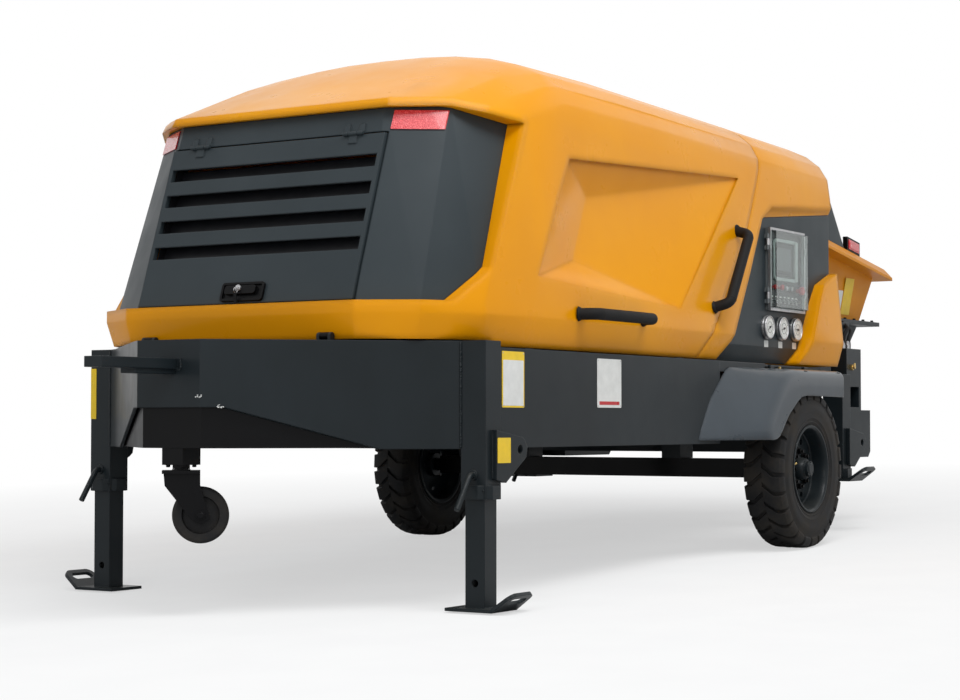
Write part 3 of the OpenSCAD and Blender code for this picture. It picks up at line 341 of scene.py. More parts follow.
def mark_smooth(mesh, angle):
    """Smooth faces, with every edge sharper than the angle kept crisp."""
    bm = bmesh.new()
    bm.from_mesh(mesh)
    limit = math.radians(angle)
    for face in bm.faces:
        face.smooth = True
    for edge in bm.edges:
        edge.smooth = len(edge.link_faces) == 2 and edge.calc_face_angle(math.pi) <= limit
    bm.to_mesh(mesh)
    bm.free()


def round_edges(obj, width, segments, angle):
    """Bevels every edge sharper than the angle."""
    bevel = obj.modifiers.new("rounded", "BEVEL")
    bevel.width = width
    bevel.segments = segments
    bevel.limit_method = "ANGLE"
    bevel.angle_limit = math.radians(angle)
    bevel.harden_normals = True


def soften(node, look, width, segments=2, angle=25, smooth=25):
    """Stands for a CAD node with the same form and rounded edges."""
    mesh = NODES[node].data.copy()
    bm = bmesh.new()
    bm.from_mesh(mesh)
    bmesh.ops.remove_doubles(bm, verts=bm.verts, dist=1e-5)
    bmesh.ops.dissolve_limit(bm, angle_limit=math.radians(1.0), verts=bm.verts, edges=bm.edges)
    bm.to_mesh(mesh)
    bm.free()
    mark_smooth(mesh, smooth)
    obj = put(bpy.data.objects.new("soft_" + node, mesh))
    round_edges(obj, width, segments, angle)
    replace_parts(obj, node)
    return finish_piece(obj, BODY_OF[node], look)


class Shape:
    """A piece drawn in machine axes and then parked."""

    def __init__(self):
        self.bm = bmesh.new()

    def _place(self, verts, matrix):
        bmesh.ops.transform(self.bm, matrix=matrix, verts=verts)
        return self

    def box(self, low, high):
        size = high - low
        made = bmesh.ops.create_cube(self.bm, size=1.0)["verts"]
        middle = Matrix.Translation((low + high) / 2)
        return self._place(made, middle @ Matrix.Diagonal((*size, 1.0)))

    def rod(self, p, q, r, r_end=None, seg=24):
        axis = q - p
        r_end = r if r_end is None else r_end
        made = bmesh.ops.create_cone(self.bm, cap_ends=True, segments=seg, radius1=r, radius2=r_end,
                                     depth=axis.length)["verts"]
        turn = Vector((0, 0, 1)).rotation_difference(axis.normalized()).to_matrix().to_4x4()
        return self._place(made, Matrix.Translation((p + q) / 2) @ turn)

    def ball(self, p, r, squash):
        made = bmesh.ops.create_uvsphere(self.bm, u_segments=20, v_segments=12, radius=r)["verts"]
        return self._place(made, Matrix.Translation(p) @ Matrix.Diagonal((*squash, 1.0)))

    def ring(self, p, axis, radius, r, seg=48, around=12):
        axis = Vector(axis).normalized()
        u = axis.orthogonal().normalized()
        v = axis.cross(u)
        loops = []
        for i in range(seg):
            a = math.tau * i / seg
            out = u * math.cos(a) + v * math.sin(a)
            turns = (math.tau * k / around for k in range(around))
            loops.append([self.bm.verts.new(p + out * (radius + r * math.cos(b))
                                            + axis * (r * math.sin(b))) for b in turns])
        return self.skin(loops, True)

    def tube(self, points, r, around=12):
        """A tube along points, its ends capped."""
        side = None
        loops = []
        for i, p in enumerate(points):
            ahead = points[min(i + 1, len(points) - 1)] - points[max(i - 1, 0)]
            ahead.normalize()
            if side is None:
                side = ahead.orthogonal().normalized()
            side = (side - ahead * side.dot(ahead)).normalized()
            over = ahead.cross(side)
            radius = r[i] if isinstance(r, (list, tuple)) else r
            turns = (math.tau * k / around for k in range(around))
            loops.append([self.bm.verts.new(p + side * (radius * math.cos(b))
                                            + over * (radius * math.sin(b))) for b in turns])
        return self.skin(loops, False)

    def skin(self, loops, closed):
        """Joins loops of points. An open row of loops has its two ends capped."""
        count = len(loops) if closed else len(loops) - 1
        for i in range(count):
            a, b = loops[i], loops[(i + 1) % len(loops)]
            for k in range(len(a)):
                j = (k + 1) % len(a)
                self.bm.faces.new((a[k], b[k], b[j], a[j]))
        if not closed:
            self.bm.faces.new(list(reversed(loops[0])))
            self.bm.faces.new(loops[-1])
        return self

    def outline(self, centre, across, up, points):
        return [self.bm.verts.new(centre + across * x + up * y) for x, y in points]

    def plate(self, centre, across, up, width, height, thick, corner=0.0, hole=None):
        """A rounded plate that stands off along the cross product of across and up.

        A hole is given as the width of the frame left around it.
        """
        centre, across, up = Vector(centre), Vector(across).normalized(), Vector(up).normalized()
        out = across.cross(up).normalized()
        outline = rounded(width, height, corner)
        low = self.outline(centre, across, up, outline)
        high = self.outline(centre + out * thick, across, up, outline)
        n = len(outline)
        for k in range(n):
            j = (k + 1) % n
            self.bm.faces.new((low[k], low[j], high[j], high[k]))
        if hole is None:
            self.bm.faces.new(list(reversed(low)))
            self.bm.faces.new(high)
            return self
        inner = rounded(width - 2 * hole, height - 2 * hole, max(corner - hole, 0.0), n // 4)
        low_in = self.outline(centre, across, up, inner)
        high_in = self.outline(centre + out * thick, across, up, inner)
        for k in range(n):
            j = (k + 1) % n
            self.bm.faces.new((low_in[j], low_in[k], high_in[k], high_in[j]))
            self.bm.faces.new((high[k], high[j], high_in[j], high_in[k]))
            self.bm.faces.new((low[j], low[k], low_in[k], low_in[j]))
        return self

    def parked(self, name):
        """The drawn form as an object in the row frame."""
        bmesh.ops.recalc_face_normals(self.bm, faces=self.bm.faces)
        bmesh.ops.transform(self.bm, matrix=PARK, verts=self.bm.verts)
        mesh = bpy.data.meshes.new(name)
        self.bm.to_mesh(mesh)
        self.bm.free()
        return put(bpy.data.objects.new(name, mesh))

    def build(self, name, look, body="chassis", bevel=0.0, smooth=35):
        obj = self.parked(name)
        mark_smooth(obj.data, smooth)
        if bevel:
            round_edges(obj, bevel, 2, 40)
        return finish_piece(obj, body, look)


def rounded(width, height, corner, per_corner=None):
    """Outline of a rounded rectangle, anticlockwise."""
    steps = per_corner or (8 if corner > 0 else 1)
    corner = max(corner, 0.0)
    points = []
    for k, (sx, sy) in enumerate(((1, 1), (-1, 1), (-1, -1), (1, -1))):
        cx, cy = sx * (width / 2 - corner), sy * (height / 2 - corner)
        for i in range(steps):
            a = math.pi / 2 * (k + (i / (steps - 1) if steps > 1 else 0.5))
            points.append((cx + corner * math.cos(a), cy + corner * math.sin(a)))
    return points


# Rounded main forms
soften("front_beam", SLATE_FRAME, 0.008)
for name in ("leg_sleeves", "tow_tongue"):
    soften(name, SLATE_FRAME, 0.004)
for name in LEGS:
    soften(name, SLATE_FRAME, 0.003)
soften("hood_front", YELLOW, 0.018, segments=3, angle=13, smooth=28)
soften("hood_rear", YELLOW, 0.014, segments=3, angle=13, smooth=28)
soften("hood_front_panel", SLATE, 0.01, angle=10, smooth=24)


# Places on the machine
def mm(x, y, z):
    """A machine place given in millimetres."""
    return Vector((x, y, z)) / 1000


SIDES = (("left", 1), ("right", -1))
Z_UP, Y_OUT = Vector((0, 0, 1)), Vector((0, 1, 0))
SIDE_Y = 968
# Directions across and up of a plate that faces out from the control side.
FACING = Vector((-1, 0, 0)), Z_UP
FACE_X, BAND_Z, FRONT_SLOPE = 2869, 1047, 0.3305
FACE_UP = Vector((-FRONT_SLOPE, 0, 1)).normalized()
FACE_OUT = Vector((1, 0, FRONT_SLOPE)).normalized()


def on_front(y, z, depth=0.0):
    """A point on the dark front at a height, moved inward by depth."""
    return mm(FACE_X - FRONT_SLOPE * (z - BAND_Z), y, z) - FACE_OUT * depth / 1000


# Grille door
def louvre_shade_sheet():
    # A dark sheet with two side plates behind the grille slots: painted shade that makes the slots
    # read black inside.
    shape = Shape()
    shape.plate(on_front(0, 1432, 66), Y_OUT, FACE_UP, 1.02, 0.43, 0.002, 0.01)
    for y in (-505, 505):
        shape.plate(on_front(y, 1432, 64), FACE_OUT, FACE_UP, 0.07, 0.43, 0.002, 0.004)
    shape.build("louvre_shade_sheet", DARK_PANEL, "door")


def door_latch():
    """The flush latch with its key, fob and tag."""
    body = Shape()
    centre_z = BAND_Z + 48
    body.plate(on_front(0, centre_z), Y_OUT, FACE_UP, 0.208, 0.078, 0.012, 0.014, hole=0.011)
    body.plate(on_front(0, centre_z), Y_OUT, FACE_UP, 0.2, 0.07, 0.003, 0.01)
    body.plate(on_front(-8, centre_z + 6, -3), Y_OUT, FACE_UP, 0.15, 0.036, 0.014, 0.012)
    piece = body.build("latch_body", BLACK, "door", bevel=0.002)
    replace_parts(piece, "door_latch")
    key = Shape()
    lock = on_front(-14, centre_z + 10, -16)
    key.rod(lock, lock + FACE_OUT * 0.008, 0.014, 0.013)
    key.rod(lock + FACE_OUT * 0.007, lock + FACE_OUT * 0.012, 0.009, 0.008)
    key.plate(lock + FACE_OUT * 0.011, Y_OUT, FACE_OUT, 0.004, 0.016, 0.012, 0.001)
    key.ring(lock + FACE_OUT * 0.02 + Vector((0, 0, -0.013)), Y_OUT, 0.011, 0.0013, 28, 8)
    key.build("latch_key", STEEL, "door")
    fob = Shape()
    top = lock + FACE_OUT * 0.02 + Vector((0, 0, -0.024))
    fob.plate(top + Vector((0, 0, -0.024)), (0, 1, 0.06), (0, -0.06, 1), 0.013, 0.046, 0.004, 0.005)
    fob.build("key_fob", BLACK, "door", bevel=0.001)
    tag = Shape()
    low = top + Vector((0, 0, -0.048))
    sways = [Vector((0.001 * math.sin(0.8 * i), 0.0006 * i, -0.004 * i)) for i in range(9)]
    tag.tube([low + sway for sway in sways], 0.0016, 8)
    tag.plate(low + Vector((0, 0.005, -0.036)), Y_OUT, Z_UP, 0.008, 0.014, 0.0012, 0.002)
    tag.build("key_tag", BRASS, "door")


# Control recess
RECESS_Y = 870
GAUGE_X, GAUGE_PITCH, GAUGE_Z = -82, 168, 1056
TOGGLES, TOGGLE_X, TOGGLE_PITCH = 7, -140, 48
BOX_X0, BOX_X1, BOX_Z0, BOX_Z1 = -490, -80, 1142, 1538


def gauge_details():
    across, up = FACING
    for i in range(3):
        x = GAUGE_X - GAUGE_PITCH * i
        face = mm(x, RECESS_Y + 20, GAUGE_Z)
        bezel = Shape().ring(face, Y_OUT, 0.0525, 0.0045, 56, 12)
        bezel.ring(face - Vector((0, 0.012, 0)), Y_OUT, 0.056, 0.0022, 56, 8)
        bezel.build(f"gauge_bezel_{i}", STEEL)
        dial = Shape()
        dial.rod(face - Vector((0, 0.001, 0)), face + Vector((0, 0.0012, 0)), 0.0505, seg=56)
        dial.build(f"gauge_dial_{i}", GAUGE_FACE)
        marks = Shape()
        for k in range(25):
            a = math.radians(-135 + 270 * k / 24)
            long = k % 6 == 0
            r0, r1 = (0.036 if long else 0.041), 0.046
            out = Vector((-math.sin(a), 0, math.cos(a)))
            side = Vector((math.cos(a), 0, math.sin(a)))
            half = side * (0.0011 if long else 0.0005)
            base = face + Vector((0, 0.0014, 0))
            corners = ((r0, -half), (r0, half), (r1, half), (r1, -half))
            marks.bm.faces.new([marks.bm.verts.new(base + out * r + h) for r, h in corners])
        marks.ring(face + Vector((0, 0.0013, 0)), Y_OUT, 0.0265, 0.0009, 40, 6)
        marks.rod(face, face + Vector((0, 0.006, 0)), 0.006, 0.005)
        a = math.radians(-118 + 16 * i)
        tip = face + Vector((-math.sin(a) * 0.04, 0.0042, math.cos(a) * 0.04))
        tail = face + Vector((math.sin(a) * 0.012, 0.0042, -math.cos(a) * 0.012))
        needle = [tail, face + Vector((0, 0.0042, 0)), tip]
        marks.tube(needle, [0.0022, 0.0018, 0.0005], 8)
        marks.build(f"gauge_marks_{i}", DARK_PANEL)
        label = Shape().plate(mm(x, RECESS_Y, 976), across, up, 0.046, 0.032, 0.0012, 0.003)
        label.build(f"gauge_label_{i}", WHITE_PLATE)


def box_interior():
    across, up = FACING
    middle_x = (BOX_X0 + BOX_X1) / 2
    board = Shape()
    board.plate(mm(middle_x, RECESS_Y + 4, 1340), across, up, 0.386, 0.372, 0.003, 0.008)
    board.plate(mm(-262, RECESS_Y + 7, 1396), across, up, 0.2, 0.14, 0.006, 0.012)
    board.build("panel_board", DARK_PANEL, bevel=0.001)
    trim = Shape()
    trim.plate(mm(-290, RECESS_Y + 7, 1392), across, up, 0.28, 0.206, 0.008, 0.03, hole=0.016)
    trim.plate(mm(-410, RECESS_Y + 7, 1392), across, up, 0.03, 0.2, 0.012, 0.008)
    trim.build("panel_frame", PALE_TRIM, bevel=0.0015)
    screen = Shape()
    screen.plate(mm(-262, RECESS_Y + 13, 1396), across, up, 0.17, 0.11, 0.0015, 0.006)
    screen.build("panel_screen", BOX_GREY)
    knobs = Shape()
    stops = ((-215, 1256, 0.014, 0.026), (-440, 1250, 0.021, 0.036), (-150, 1256, 0.012, 0.02))
    for x, z, r, h in stops:
        base = mm(x, RECESS_Y + 7, z)
        knobs.rod(base, base + Vector((0, h * 0.55, 0)), r * 0.55, r * 0.5)
        knobs.rod(base + Vector((0, h * 0.5, 0)), base + Vector((0, h * 0.85, 0)), r, r)
        knobs.rod(base + Vector((0, h * 0.85, 0)), base + Vector((0, h, 0)), r, r * 0.75)
    knobs.build("stop_buttons", RED_PLASTIC, bevel=0.001)
    toggles = Shape()
    for i in range(TOGGLES):
        base = mm(TOGGLE_X - TOGGLE_PITCH * i, RECESS_Y + 7, 1186)
        toggles.rod(base, base + Vector((0, 0.004, 0)), 0.0085, seg=6)
        lever = [base, base + Vector((0, 0.01, 0.002)), base + Vector((0, 0.02, 0.008))]
        toggles.tube(lever, [0.003, 0.003, 0.0042], 10)
    for x in (-290, -350):
        base = mm(x, RECESS_Y + 7, 1256)
        toggles.rod(base, base + Vector((0, 0.014, 0)), 0.013, 0.011)
    toggles.build("toggle_row", STEEL)
    tags = Shape()
    for i in range(TOGGLES):
        place = mm(TOGGLE_X - TOGGLE_PITCH * i, RECESS_Y + 7, 1210)
        tags.plate(place, across, up, 0.022, 0.007, 0.0008, 0.001)
    tags.build("toggle_tags", WHITE_PLATE)


def cover_fittings():
    """Catches and screws on the steel frame of the clear cover."""
    shape = Shape()
    for z in (1230, 1450):
        shape.box(mm(BOX_X0 - 9, RECESS_Y + 17, z - 16), mm(BOX_X0 + 6, RECESS_Y + 31, z + 16))
        shape.rod(mm(BOX_X0 - 2, RECESS_Y + 30, z), mm(BOX_X0 - 2, RECESS_Y + 35, z), 0.005)
    for z in (1148, 1532):
        for x in (-100, -285, -470):
            shape.rod(mm(x, RECESS_Y + 28.5, z), mm(x, RECESS_Y + 31, z), 0.0038)
    shape.build("cover_catches", STEEL, "cover", bevel=0.0012)


def touch(node, start, way):
    """Where a line meets a CAD node: the point and its outward direction, in machine axes."""
    to_row = PARK.to_3x3()
    mesh = NODES[node].data
    faces = [list(f.vertices) for f in mesh.polygons]
    tree = BVHTree.FromPolygons([v.co for v in mesh.vertices], faces)
    place, normal, _, _ = tree.ray_cast(PARK @ start, to_row @ Vector(way))
    return PARK.inverted() @ place, to_row.inverted() @ normal


# Signs, all blank
def signs():
    across, up = FACING
    yellow = Shape().plate(mm(2442, SIDE_Y, 755), across, up, 0.162, 0.212, 0.0014, 0.006)
    yellow.plate(mm(2552, 996, 489), across, up, 0.092, 0.094, 0.0014, 0.004)
    yellow.plate(mm(2650, -961, 713), Y_OUT, up, 0.03, 0.21, 0.0014, 0.003)
    wall = {}
    for key, x, z in (("yellow", -1479, 1284), ("white", -1360, 1245)):
        place, out = touch("hopper", mm(x, 1100, z), (0, -1, 0))
        wall[key] = (place + out * 0.0006, across, out.cross(across))
    yellow.plate(*wall["yellow"], 0.12, 0.2, 0.0014, 0.004)
    yellow.build("yellow_signs", YELLOW_PLATE)
    white = Shape().plate(mm(2442, SIDE_Y + 1.4, 742), across, up, 0.148, 0.172, 0.0006, 0.003)
    white.plate(mm(1685, SIDE_Y, 753), across, up, 0.204, 0.199, 0.0014, 0.006)
    white.plate(*wall["white"], 0.097, 0.136, 0.0014, 0.004)
    white.build("white_signs", WHITE_PLATE)
    red = Shape().plate(mm(1685, SIDE_Y + 1.4, 672), across, up, 0.17, 0.014, 0.0005, 0.001)
    red.build("sign_bar", RED_PLASTIC)
    rivets = Shape()
    for cx, cz, w, h in ((2442, 755, 74, 99), (1685, 753, 95, 92)):
        for sx in (-1, 1):
            for sz in (-1, 1):
                rivets.ball(mm(cx + sx * w, SIDE_Y + 1.4, cz + sz * h), 0.003, (1, 0.5, 1))
    rivets.build("sign_rivets", STEEL)


# Fasteners and welds
def bead(shape, p, q, r, rng):
    """A weld bead: a thin tube that swells at each ripple."""
    count = max(int((q - p).length / 0.005), 4)
    points = []
    for i in range(count + 1):
        stray = Vector([rng.uniform(-1, 1) * r * 0.12 for _ in range(3)])
        points.append(p.lerp(q, i / count) + stray)
    radii = [r * (0.82 + 0.3 * (i % 2) + rng.uniform(-0.08, 0.1)) for i in range(count + 1)]
    shape.tube(points, radii, 8)


def welds():
    rng = random.Random(7)
    shape = Shape()
    for _, s in SIDES:
        bead(shape, mm(2651, s * 868, 498), mm(2651, s * 868, 893), 0.0055, rng)
        bead(shape, mm(2651, s * 972, 340), mm(2651, s * 872, 340), 0.004, rng)
        bead(shape, mm(2604, s * 977, 384), mm(2604, s * 977, 560), 0.004, rng)
    bead(shape, mm(3291, -60, 788), mm(3291, 60, 788), 0.005, rng)
    for y in (-61, 61):
        bead(shape, mm(3291, y, 790), mm(3291, y, 826), 0.005, rng)
    shape.build("weld_beads", SLATE_FRAME)


def hex_bolt(shape, base, axis, r, h, washer=True):
    axis = Vector(axis).normalized()
    if washer:
        shape.rod(base, base + axis * h * 0.18, r * 1.45, seg=24)
    shape.rod(base + axis * h * 0.15, base + axis * h * 0.85, r, seg=6)
    shape.rod(base + axis * h * 0.85, base + axis * h, r * 0.92, r * 0.7, seg=24)


# Wheels
WHEEL_Y, TYRE_R_MM = 1046.5, 375
# (radius, outward distance) in mm. The tyre's side runs from its bead to its crown.
RIM = [(34, -60), (60, -60), (63, -24), (110, -10), (150, 0), (178, -2), (184, -10), (184, -86),
       (199, -92), (206, -90), (205, -84), (194, -76), (194, 76), (205, 84), (208, 88), (205, 92),
       (199, 92), (193, 88), (189, 80), (186, 56), (183, 17), (177, 13), (150, 18), (116, 15),
       (106, 16), (104, 22), (62, 22), (56, 26), (50, 58), (45, 66), (34, 66)]
TYRE_SIDE = [(196, 78), (204, 84), (214, 88), (222, 92.5), (225, 90.5), (236, 94), (240, 96.5),
             (244, 95.5), (270, 98.4), (298, 98.6), (301, 97), (322, 95), (340, 89), (352, 78),
             (358, 62), (359.5, 30)]
# Rows of a lug: distance from the tyre's middle, outer radius, lead around the tyre, inner radius.
LUG = [(0, 374.9, 45, 350), (26, 375, 25, 350), (50, 374.6, 4, 350), (72, 372.6, 0, 349),
       (87, 367.5, -1, 345), (95.5, 357, -2, 338), (98.6, 342, -3, 330), (98.8, 330, -4, 322)]
LUGS, LUG_HALF, LUG_SPREAD, LUG_INSET, SHOULDER_Y = 26, 34, 3, 7, 80
STUDS, NUT_RING, HOLE_RING, CAP_BOLTS = 8, 0.083, 0.136, 6


def spoke(turn):
    """Direction from the wheel axis after a share of a full turn."""
    a = math.tau * turn
    return Vector((math.cos(a), 0, math.sin(a)))


def lathe(centre, side, profile, seg):
    """A form turned about the wheel axis from a closed profile."""
    shape = Shape()
    loops = []
    for r, y in profile:
        loop = []
        for k in range(seg):
            a = math.tau * k / seg
            point = Vector((math.cos(a) * r, side * y, math.sin(a) * r)) / 1000
            loop.append(shape.bm.verts.new(centre + point))
        loops.append(loop)
    return shape.skin(loops, True)


def tread_lug(shape, hub, side, start):
    """One lug of the tread. side says on which half of the tyre it lies."""
    rows = []
    for y, r, lead, base in LUG:
        inset = LUG_INSET if y > SHOULDER_Y else 0
        section = ((base, LUG_HALF + LUG_SPREAD, inset), (r, LUG_HALF, 0), (r, -LUG_HALF, 0),
                   (base, -LUG_HALF - LUG_SPREAD, inset))
        row = []
        for radius, half, inward in section:
            a = start + (lead + half) / TYRE_R_MM
            point = Vector((math.cos(a) * radius, side * (y - inward), math.sin(a) * radius))
            row.append(shape.bm.verts.new(hub + point / 1000))
        rows.append(row)
    shape.skin(rows, False)


def tyre(name, s, hub):
    shape = lathe(hub, s, TYRE_SIDE + [(r, -y) for r, y in reversed(TYRE_SIDE)], 120)
    for k in range(LUGS):
        for way, shift in ((1, 0.25), (-1, -0.25)):
            tread_lug(shape, hub, s * way, math.tau * (k + shift) / LUGS)
    piece = shape.build("tread_tyre_" + name, TYRE, "wheel_" + name, bevel=0.0035, smooth=32)
    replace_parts(piece, "tyre_" + name)


def rim(name, hub, s, out):
    """The dished rim, with hand holes cut through its disc."""
    holes = Shape()
    for i in range(STUDS):
        at = hub + spoke((i + 0.5) / STUDS) * HOLE_RING
        holes.rod(at - out * 0.04, at + out * 0.04, 0.015, seg=28)
    obj = lathe(hub, s, RIM, 96).parked("dish_rim_" + name)
    tool = holes.parked("rim_holes")
    cut = obj.modifiers.new("holes", "BOOLEAN")
    cut.object = tool
    cut.operation = "DIFFERENCE"
    cut.solver = "EXACT"
    bpy.context.view_layer.update()
    depsgraph = bpy.context.evaluated_depsgraph_get()
    mesh = bpy.data.meshes.new_from_object(obj.evaluated_get(depsgraph))
    obj.modifiers.clear()
    obj.data = mesh
    bpy.data.objects.remove(tool)
    mark_smooth(mesh, 30)
    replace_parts(finish_piece(obj, "wheel_" + name, SLATE_FRAME), "rim_" + name)


def wheels():
    """Tyre, rim, nuts, hub cap and valve of each road wheel."""
    for name, s in SIDES:
        body = "wheel_" + name
        hub = mm(0, s * WHEEL_Y, TYRE_R_MM)
        out = Vector((0, s, 0))
        tyre(name, s, hub)
        rim(name, hub, s, out)
        nuts = Shape()
        for i in range(STUDS):
            foot = hub + out * 0.0215 + spoke(i / STUDS) * NUT_RING
            hex_bolt(nuts, foot, out, 0.0135, 0.021)
            nuts.rod(foot, foot + out * 0.03, 0.0075, seg=16)
        nuts.build("wheel_nuts_" + name, BLACK, body)
        cap = Shape()
        face = hub + out * 0.0855
        cap.rod(hub + out * 0.06, hub + out * 0.086, 0.0385, 0.037, seg=40)
        cap.rod(face, hub + out * 0.09, 0.027, 0.023, seg=40)
        cap.ring(hub + out * 0.0675, out, 0.0405, 0.0035, 40, 8)
        for i in range(CAP_BOLTS):
            place = face + spoke((i + 0.5) / CAP_BOLTS) * 0.032
            hex_bolt(cap, place, out, 0.0042, 0.004, washer=False)
        cap.build("hub_cap_" + name, SLATE_FRAME, body)
        valve = Shape()
        valve.tube([hub + out * 0.045 + Vector((0.172, 0, 0.02)),
                    hub + out * 0.075 + Vector((0.17, 0, 0.022)),
                    hub + out * 0.086 + Vector((0.16, 0, 0.03))], 0.004, 10)
        valve.build("air_valve_" + name, BRASS, body)


# Fenders, nose and paint chips
FENDER_IN_Y, FENDER_OUT_Y, FENDER_TRIM = 938, 1162, 31
FENDER_ROUND, FENDER_SHEET = 44, 0.005
# Sections from the rear to the front, each with (x, z) of its inner edge, crest and lip.
FENDER = [
    ((-350, 852), (-350, 842), (-350, 717)), ((-100, 852), (-100, 842), (-100, 719)),
    ((150, 852), (95, 842), (100, 720)), ((420, 852), (215, 839), (160, 713)),
    ((585, 852), (300, 818), (207, 692)), ((622, 842), (345, 790), (240, 672)),
    ((660, 812), (385, 754), (272, 652)), ((720, 764), (430, 704), (312, 626)),
    ((790, 706), (468, 654), (346, 595)), ((840, 636), (505, 600), (378, 562)),
    ((884, 572), (528, 558), (412, 532)), ((912, 530), (522, 530), (446, 518)),
    ((924, 514), (500, 514), (480, 514)),
]


def corner_points(start, corner, end, steps):
    """Points of the curve that rounds a corner."""
    points = []
    for i in range(steps + 1):
        t = i / steps
        points.append(start.lerp(corner, t).lerp(corner.lerp(end, t), t))
    return points


def fender_section(inner, crest, lip):
    """Points across the fender, from its inner edge over the crest to the lip of its skirt."""
    a = Vector((inner[0], FENDER_IN_Y, inner[1]))
    b = Vector((crest[0], FENDER_OUT_Y, crest[1]))
    c = Vector((lip[0], FENDER_OUT_Y, lip[1]))
    a = a.lerp(b, FENDER_TRIM / (FENDER_OUT_Y - FENDER_IN_Y))
    into, away = (b - a).normalized(), (c - b).normalized()
    p = b - into * min(FENDER_ROUND, (b - a).length * 0.4)
    q = b + away * min(FENDER_ROUND, (c - b).length * 0.45)
    path = [a, a.lerp(b, 0.35), a.lerp(b, 0.68)]
    return path + corner_points(p, b, q, 7) + [q.lerp(c, 0.5), c]


def fender_shells():
    """Pressed fenders: a sloped top, a round outer edge and a skirt over the tyre."""
    for name, s in SIDES:
        shape = Shape()
        loops = []
        for section in FENDER:
            path = fender_section(*section)
            loops.append([shape.bm.verts.new(Vector((v.x, s * v.y, v.z)) / 1000) for v in path])
        for u, v in zip(loops, loops[1:]):
            for k in range(len(u) - 1):
                shape.bm.faces.new((u[k], v[k], v[k + 1], u[k + 1]))
        piece = shape.build("pressed_fender_" + name, SLATE_FENDER, smooth=50)
        top = max(piece.data.polygons, key=lambda f: f.center.z)
        thick = piece.modifiers.new("sheet", "SOLIDIFY")
        thick.thickness = FENDER_SHEET
        thick.offset = -1 if top.normal.z > 0 else 1
        edge = piece.modifiers.new("edge", "BEVEL")
        edge.width = 0.0015
        edge.limit_method = "ANGLE"
        edge.angle_limit = math.radians(60)
        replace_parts(piece, "fenders")
    brackets = Shape()
    for _, s in SIDES:
        for x in (-330, 70):
            side_box(brackets, s, (x, 962, 812), (x + 30, 1150, 838))
            side_box(brackets, s, (x - 6, 962, 812), (x + 36, 978, 866))
        side_box(brackets, s, (148, SIDE_Y - 7, 824), (648, SIDE_Y - 1, 874))
    brackets.build("fender_brackets", SLATE_FRAME, bevel=0.002)


def side_box(shape, s, low, high):
    """A box on one side of the machine, given for the left."""
    y0, y1 = sorted((s * low[1], s * high[1]))
    shape.box(mm(low[0], y0, low[2]), mm(high[0], y1, high[2]))


def nose_apron():
    """Inner plate behind the raised nose of the beam, in front of the caster."""
    half = [(2684, 786, 2678, 780), (3214, 206, 3208, 201), (3268, 140, 3266.5, 137)]
    low, high = 498, 740
    shape = Shape()
    rings = []
    for x, y, u, v in half + [(x, -y, u, -v) for x, y, u, v in reversed(half)]:
        corners = ((x, y, low), (x, y, high), (u, v, high), (u, v, low))
        rings.append([shape.bm.verts.new(mm(*c)) for c in corners])
    shape.skin(rings, False)
    shape.build("nose_apron", BLACK, bevel=0.001)


def scuffs():
    """Chipped paint on the nose: thin flakes of bare undercoat."""
    rng = random.Random(11)
    shape = Shape()
    out = Vector((590, 540, 0)).normalized()
    for x, y, z, spread in ((3281, 133, 686, 0.016), (3226, 193, 652, 0.011)):
        at, normal = touch("front_beam", mm(x, y, z) + out * 0.4, -out)
        across = Z_UP.cross(normal).normalized()
        up = normal.cross(across)
        for _ in range(7):
            right, lift = rng.uniform(-spread, spread), rng.uniform(-0.4, 0.4) * spread
            c = at + across * right + up * lift
            count = rng.randint(5, 7)
            top = []
            for i in range(count):
                a = math.tau * i / count
                away = across * math.cos(a) + up * 0.6 * math.sin(a)
                place = c + normal * 0.0004 + away * rng.uniform(0.002, 0.006)
                top.append(shape.bm.verts.new(place))
            low = [shape.bm.verts.new(v.co - normal * 0.0008) for v in top]
            shape.bm.faces.new(top)
            shape.bm.faces.new(list(reversed(low)))
            for i in range(count):
                k = (i + 1) % count
                shape.bm.faces.new((low[i], low[k], top[k], top[i]))
    shape.build("paint_chips", WHITE_PLATE)


# Bolts, pins and handles
CASTER_X, LEG_Y, LEG_HALF, PIN_Z = 3214, 922, 54, 398


def small_bolts():
    brass = Shape()
    for x in (120, -115):
        hex_bolt(brass, mm(x, 925, 852), Z_UP, 0.0085, 0.012)
    brass.rod(mm(-1172, 868, 887), mm(-1172, 880, 887), 0.016, seg=6)
    brass.rod(mm(-1172, 878, 887), mm(-1172, 892, 887), 0.010, 0.009)
    brass.rod(mm(-1172, 888, 893), mm(-1172, 888, 909), 0.006, 0.005)
    brass.build("brass_fittings", BRASS)
    black = Shape()
    for i in range(6):
        for s in (-1, 1):
            hex_bolt(black, mm(-1060 - 130 * i, s * 775, 1150), Z_UP, 0.009, 0.011)
    for s in (-1, 1):
        for y in (-34, 34):
            hex_bolt(black, mm(CASTER_X + s * 34, y, 437), (0, 0, -1), 0.008, 0.01)
    black.build("frame_bolts", BLACK)


def leg_pin_handles():
    """Bent handle pins through the leg sleeves."""
    shape = Shape()
    bends = ((-0.002, 0), (0.01, 0), (0.018, -0.001), (0.026, -0.006), (0.034, -0.015),
             (0.06, -0.052), (0.112, -0.126))
    for x in (2596, -840):
        for s in (-1, 1):
            base = mm(x + LEG_HALF, s * LEG_Y, PIN_Z)
            shape.rod(base - Vector((0.001, 0, 0)), base + Vector((0.004, 0, 0)), 0.021, 0.019)
            shape.tube([base + Vector((ahead, 0, lift)) for ahead, lift in bends], 0.0115, 16)
            rear = mm(x - LEG_HALF, s * LEG_Y, PIN_Z)
            for start, end, r in ((-0.002, 0.028, 0.0125), (0.0285, 0.0315, 0.0095)):
                shape.tube([rear - Vector((start, 0, 0)), rear - Vector((end, 0, 0))], r, 16)
    piece = shape.build("bent_pins", SLATE_FRAME, bevel=0.001)
    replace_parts(piece, "leg_pins")


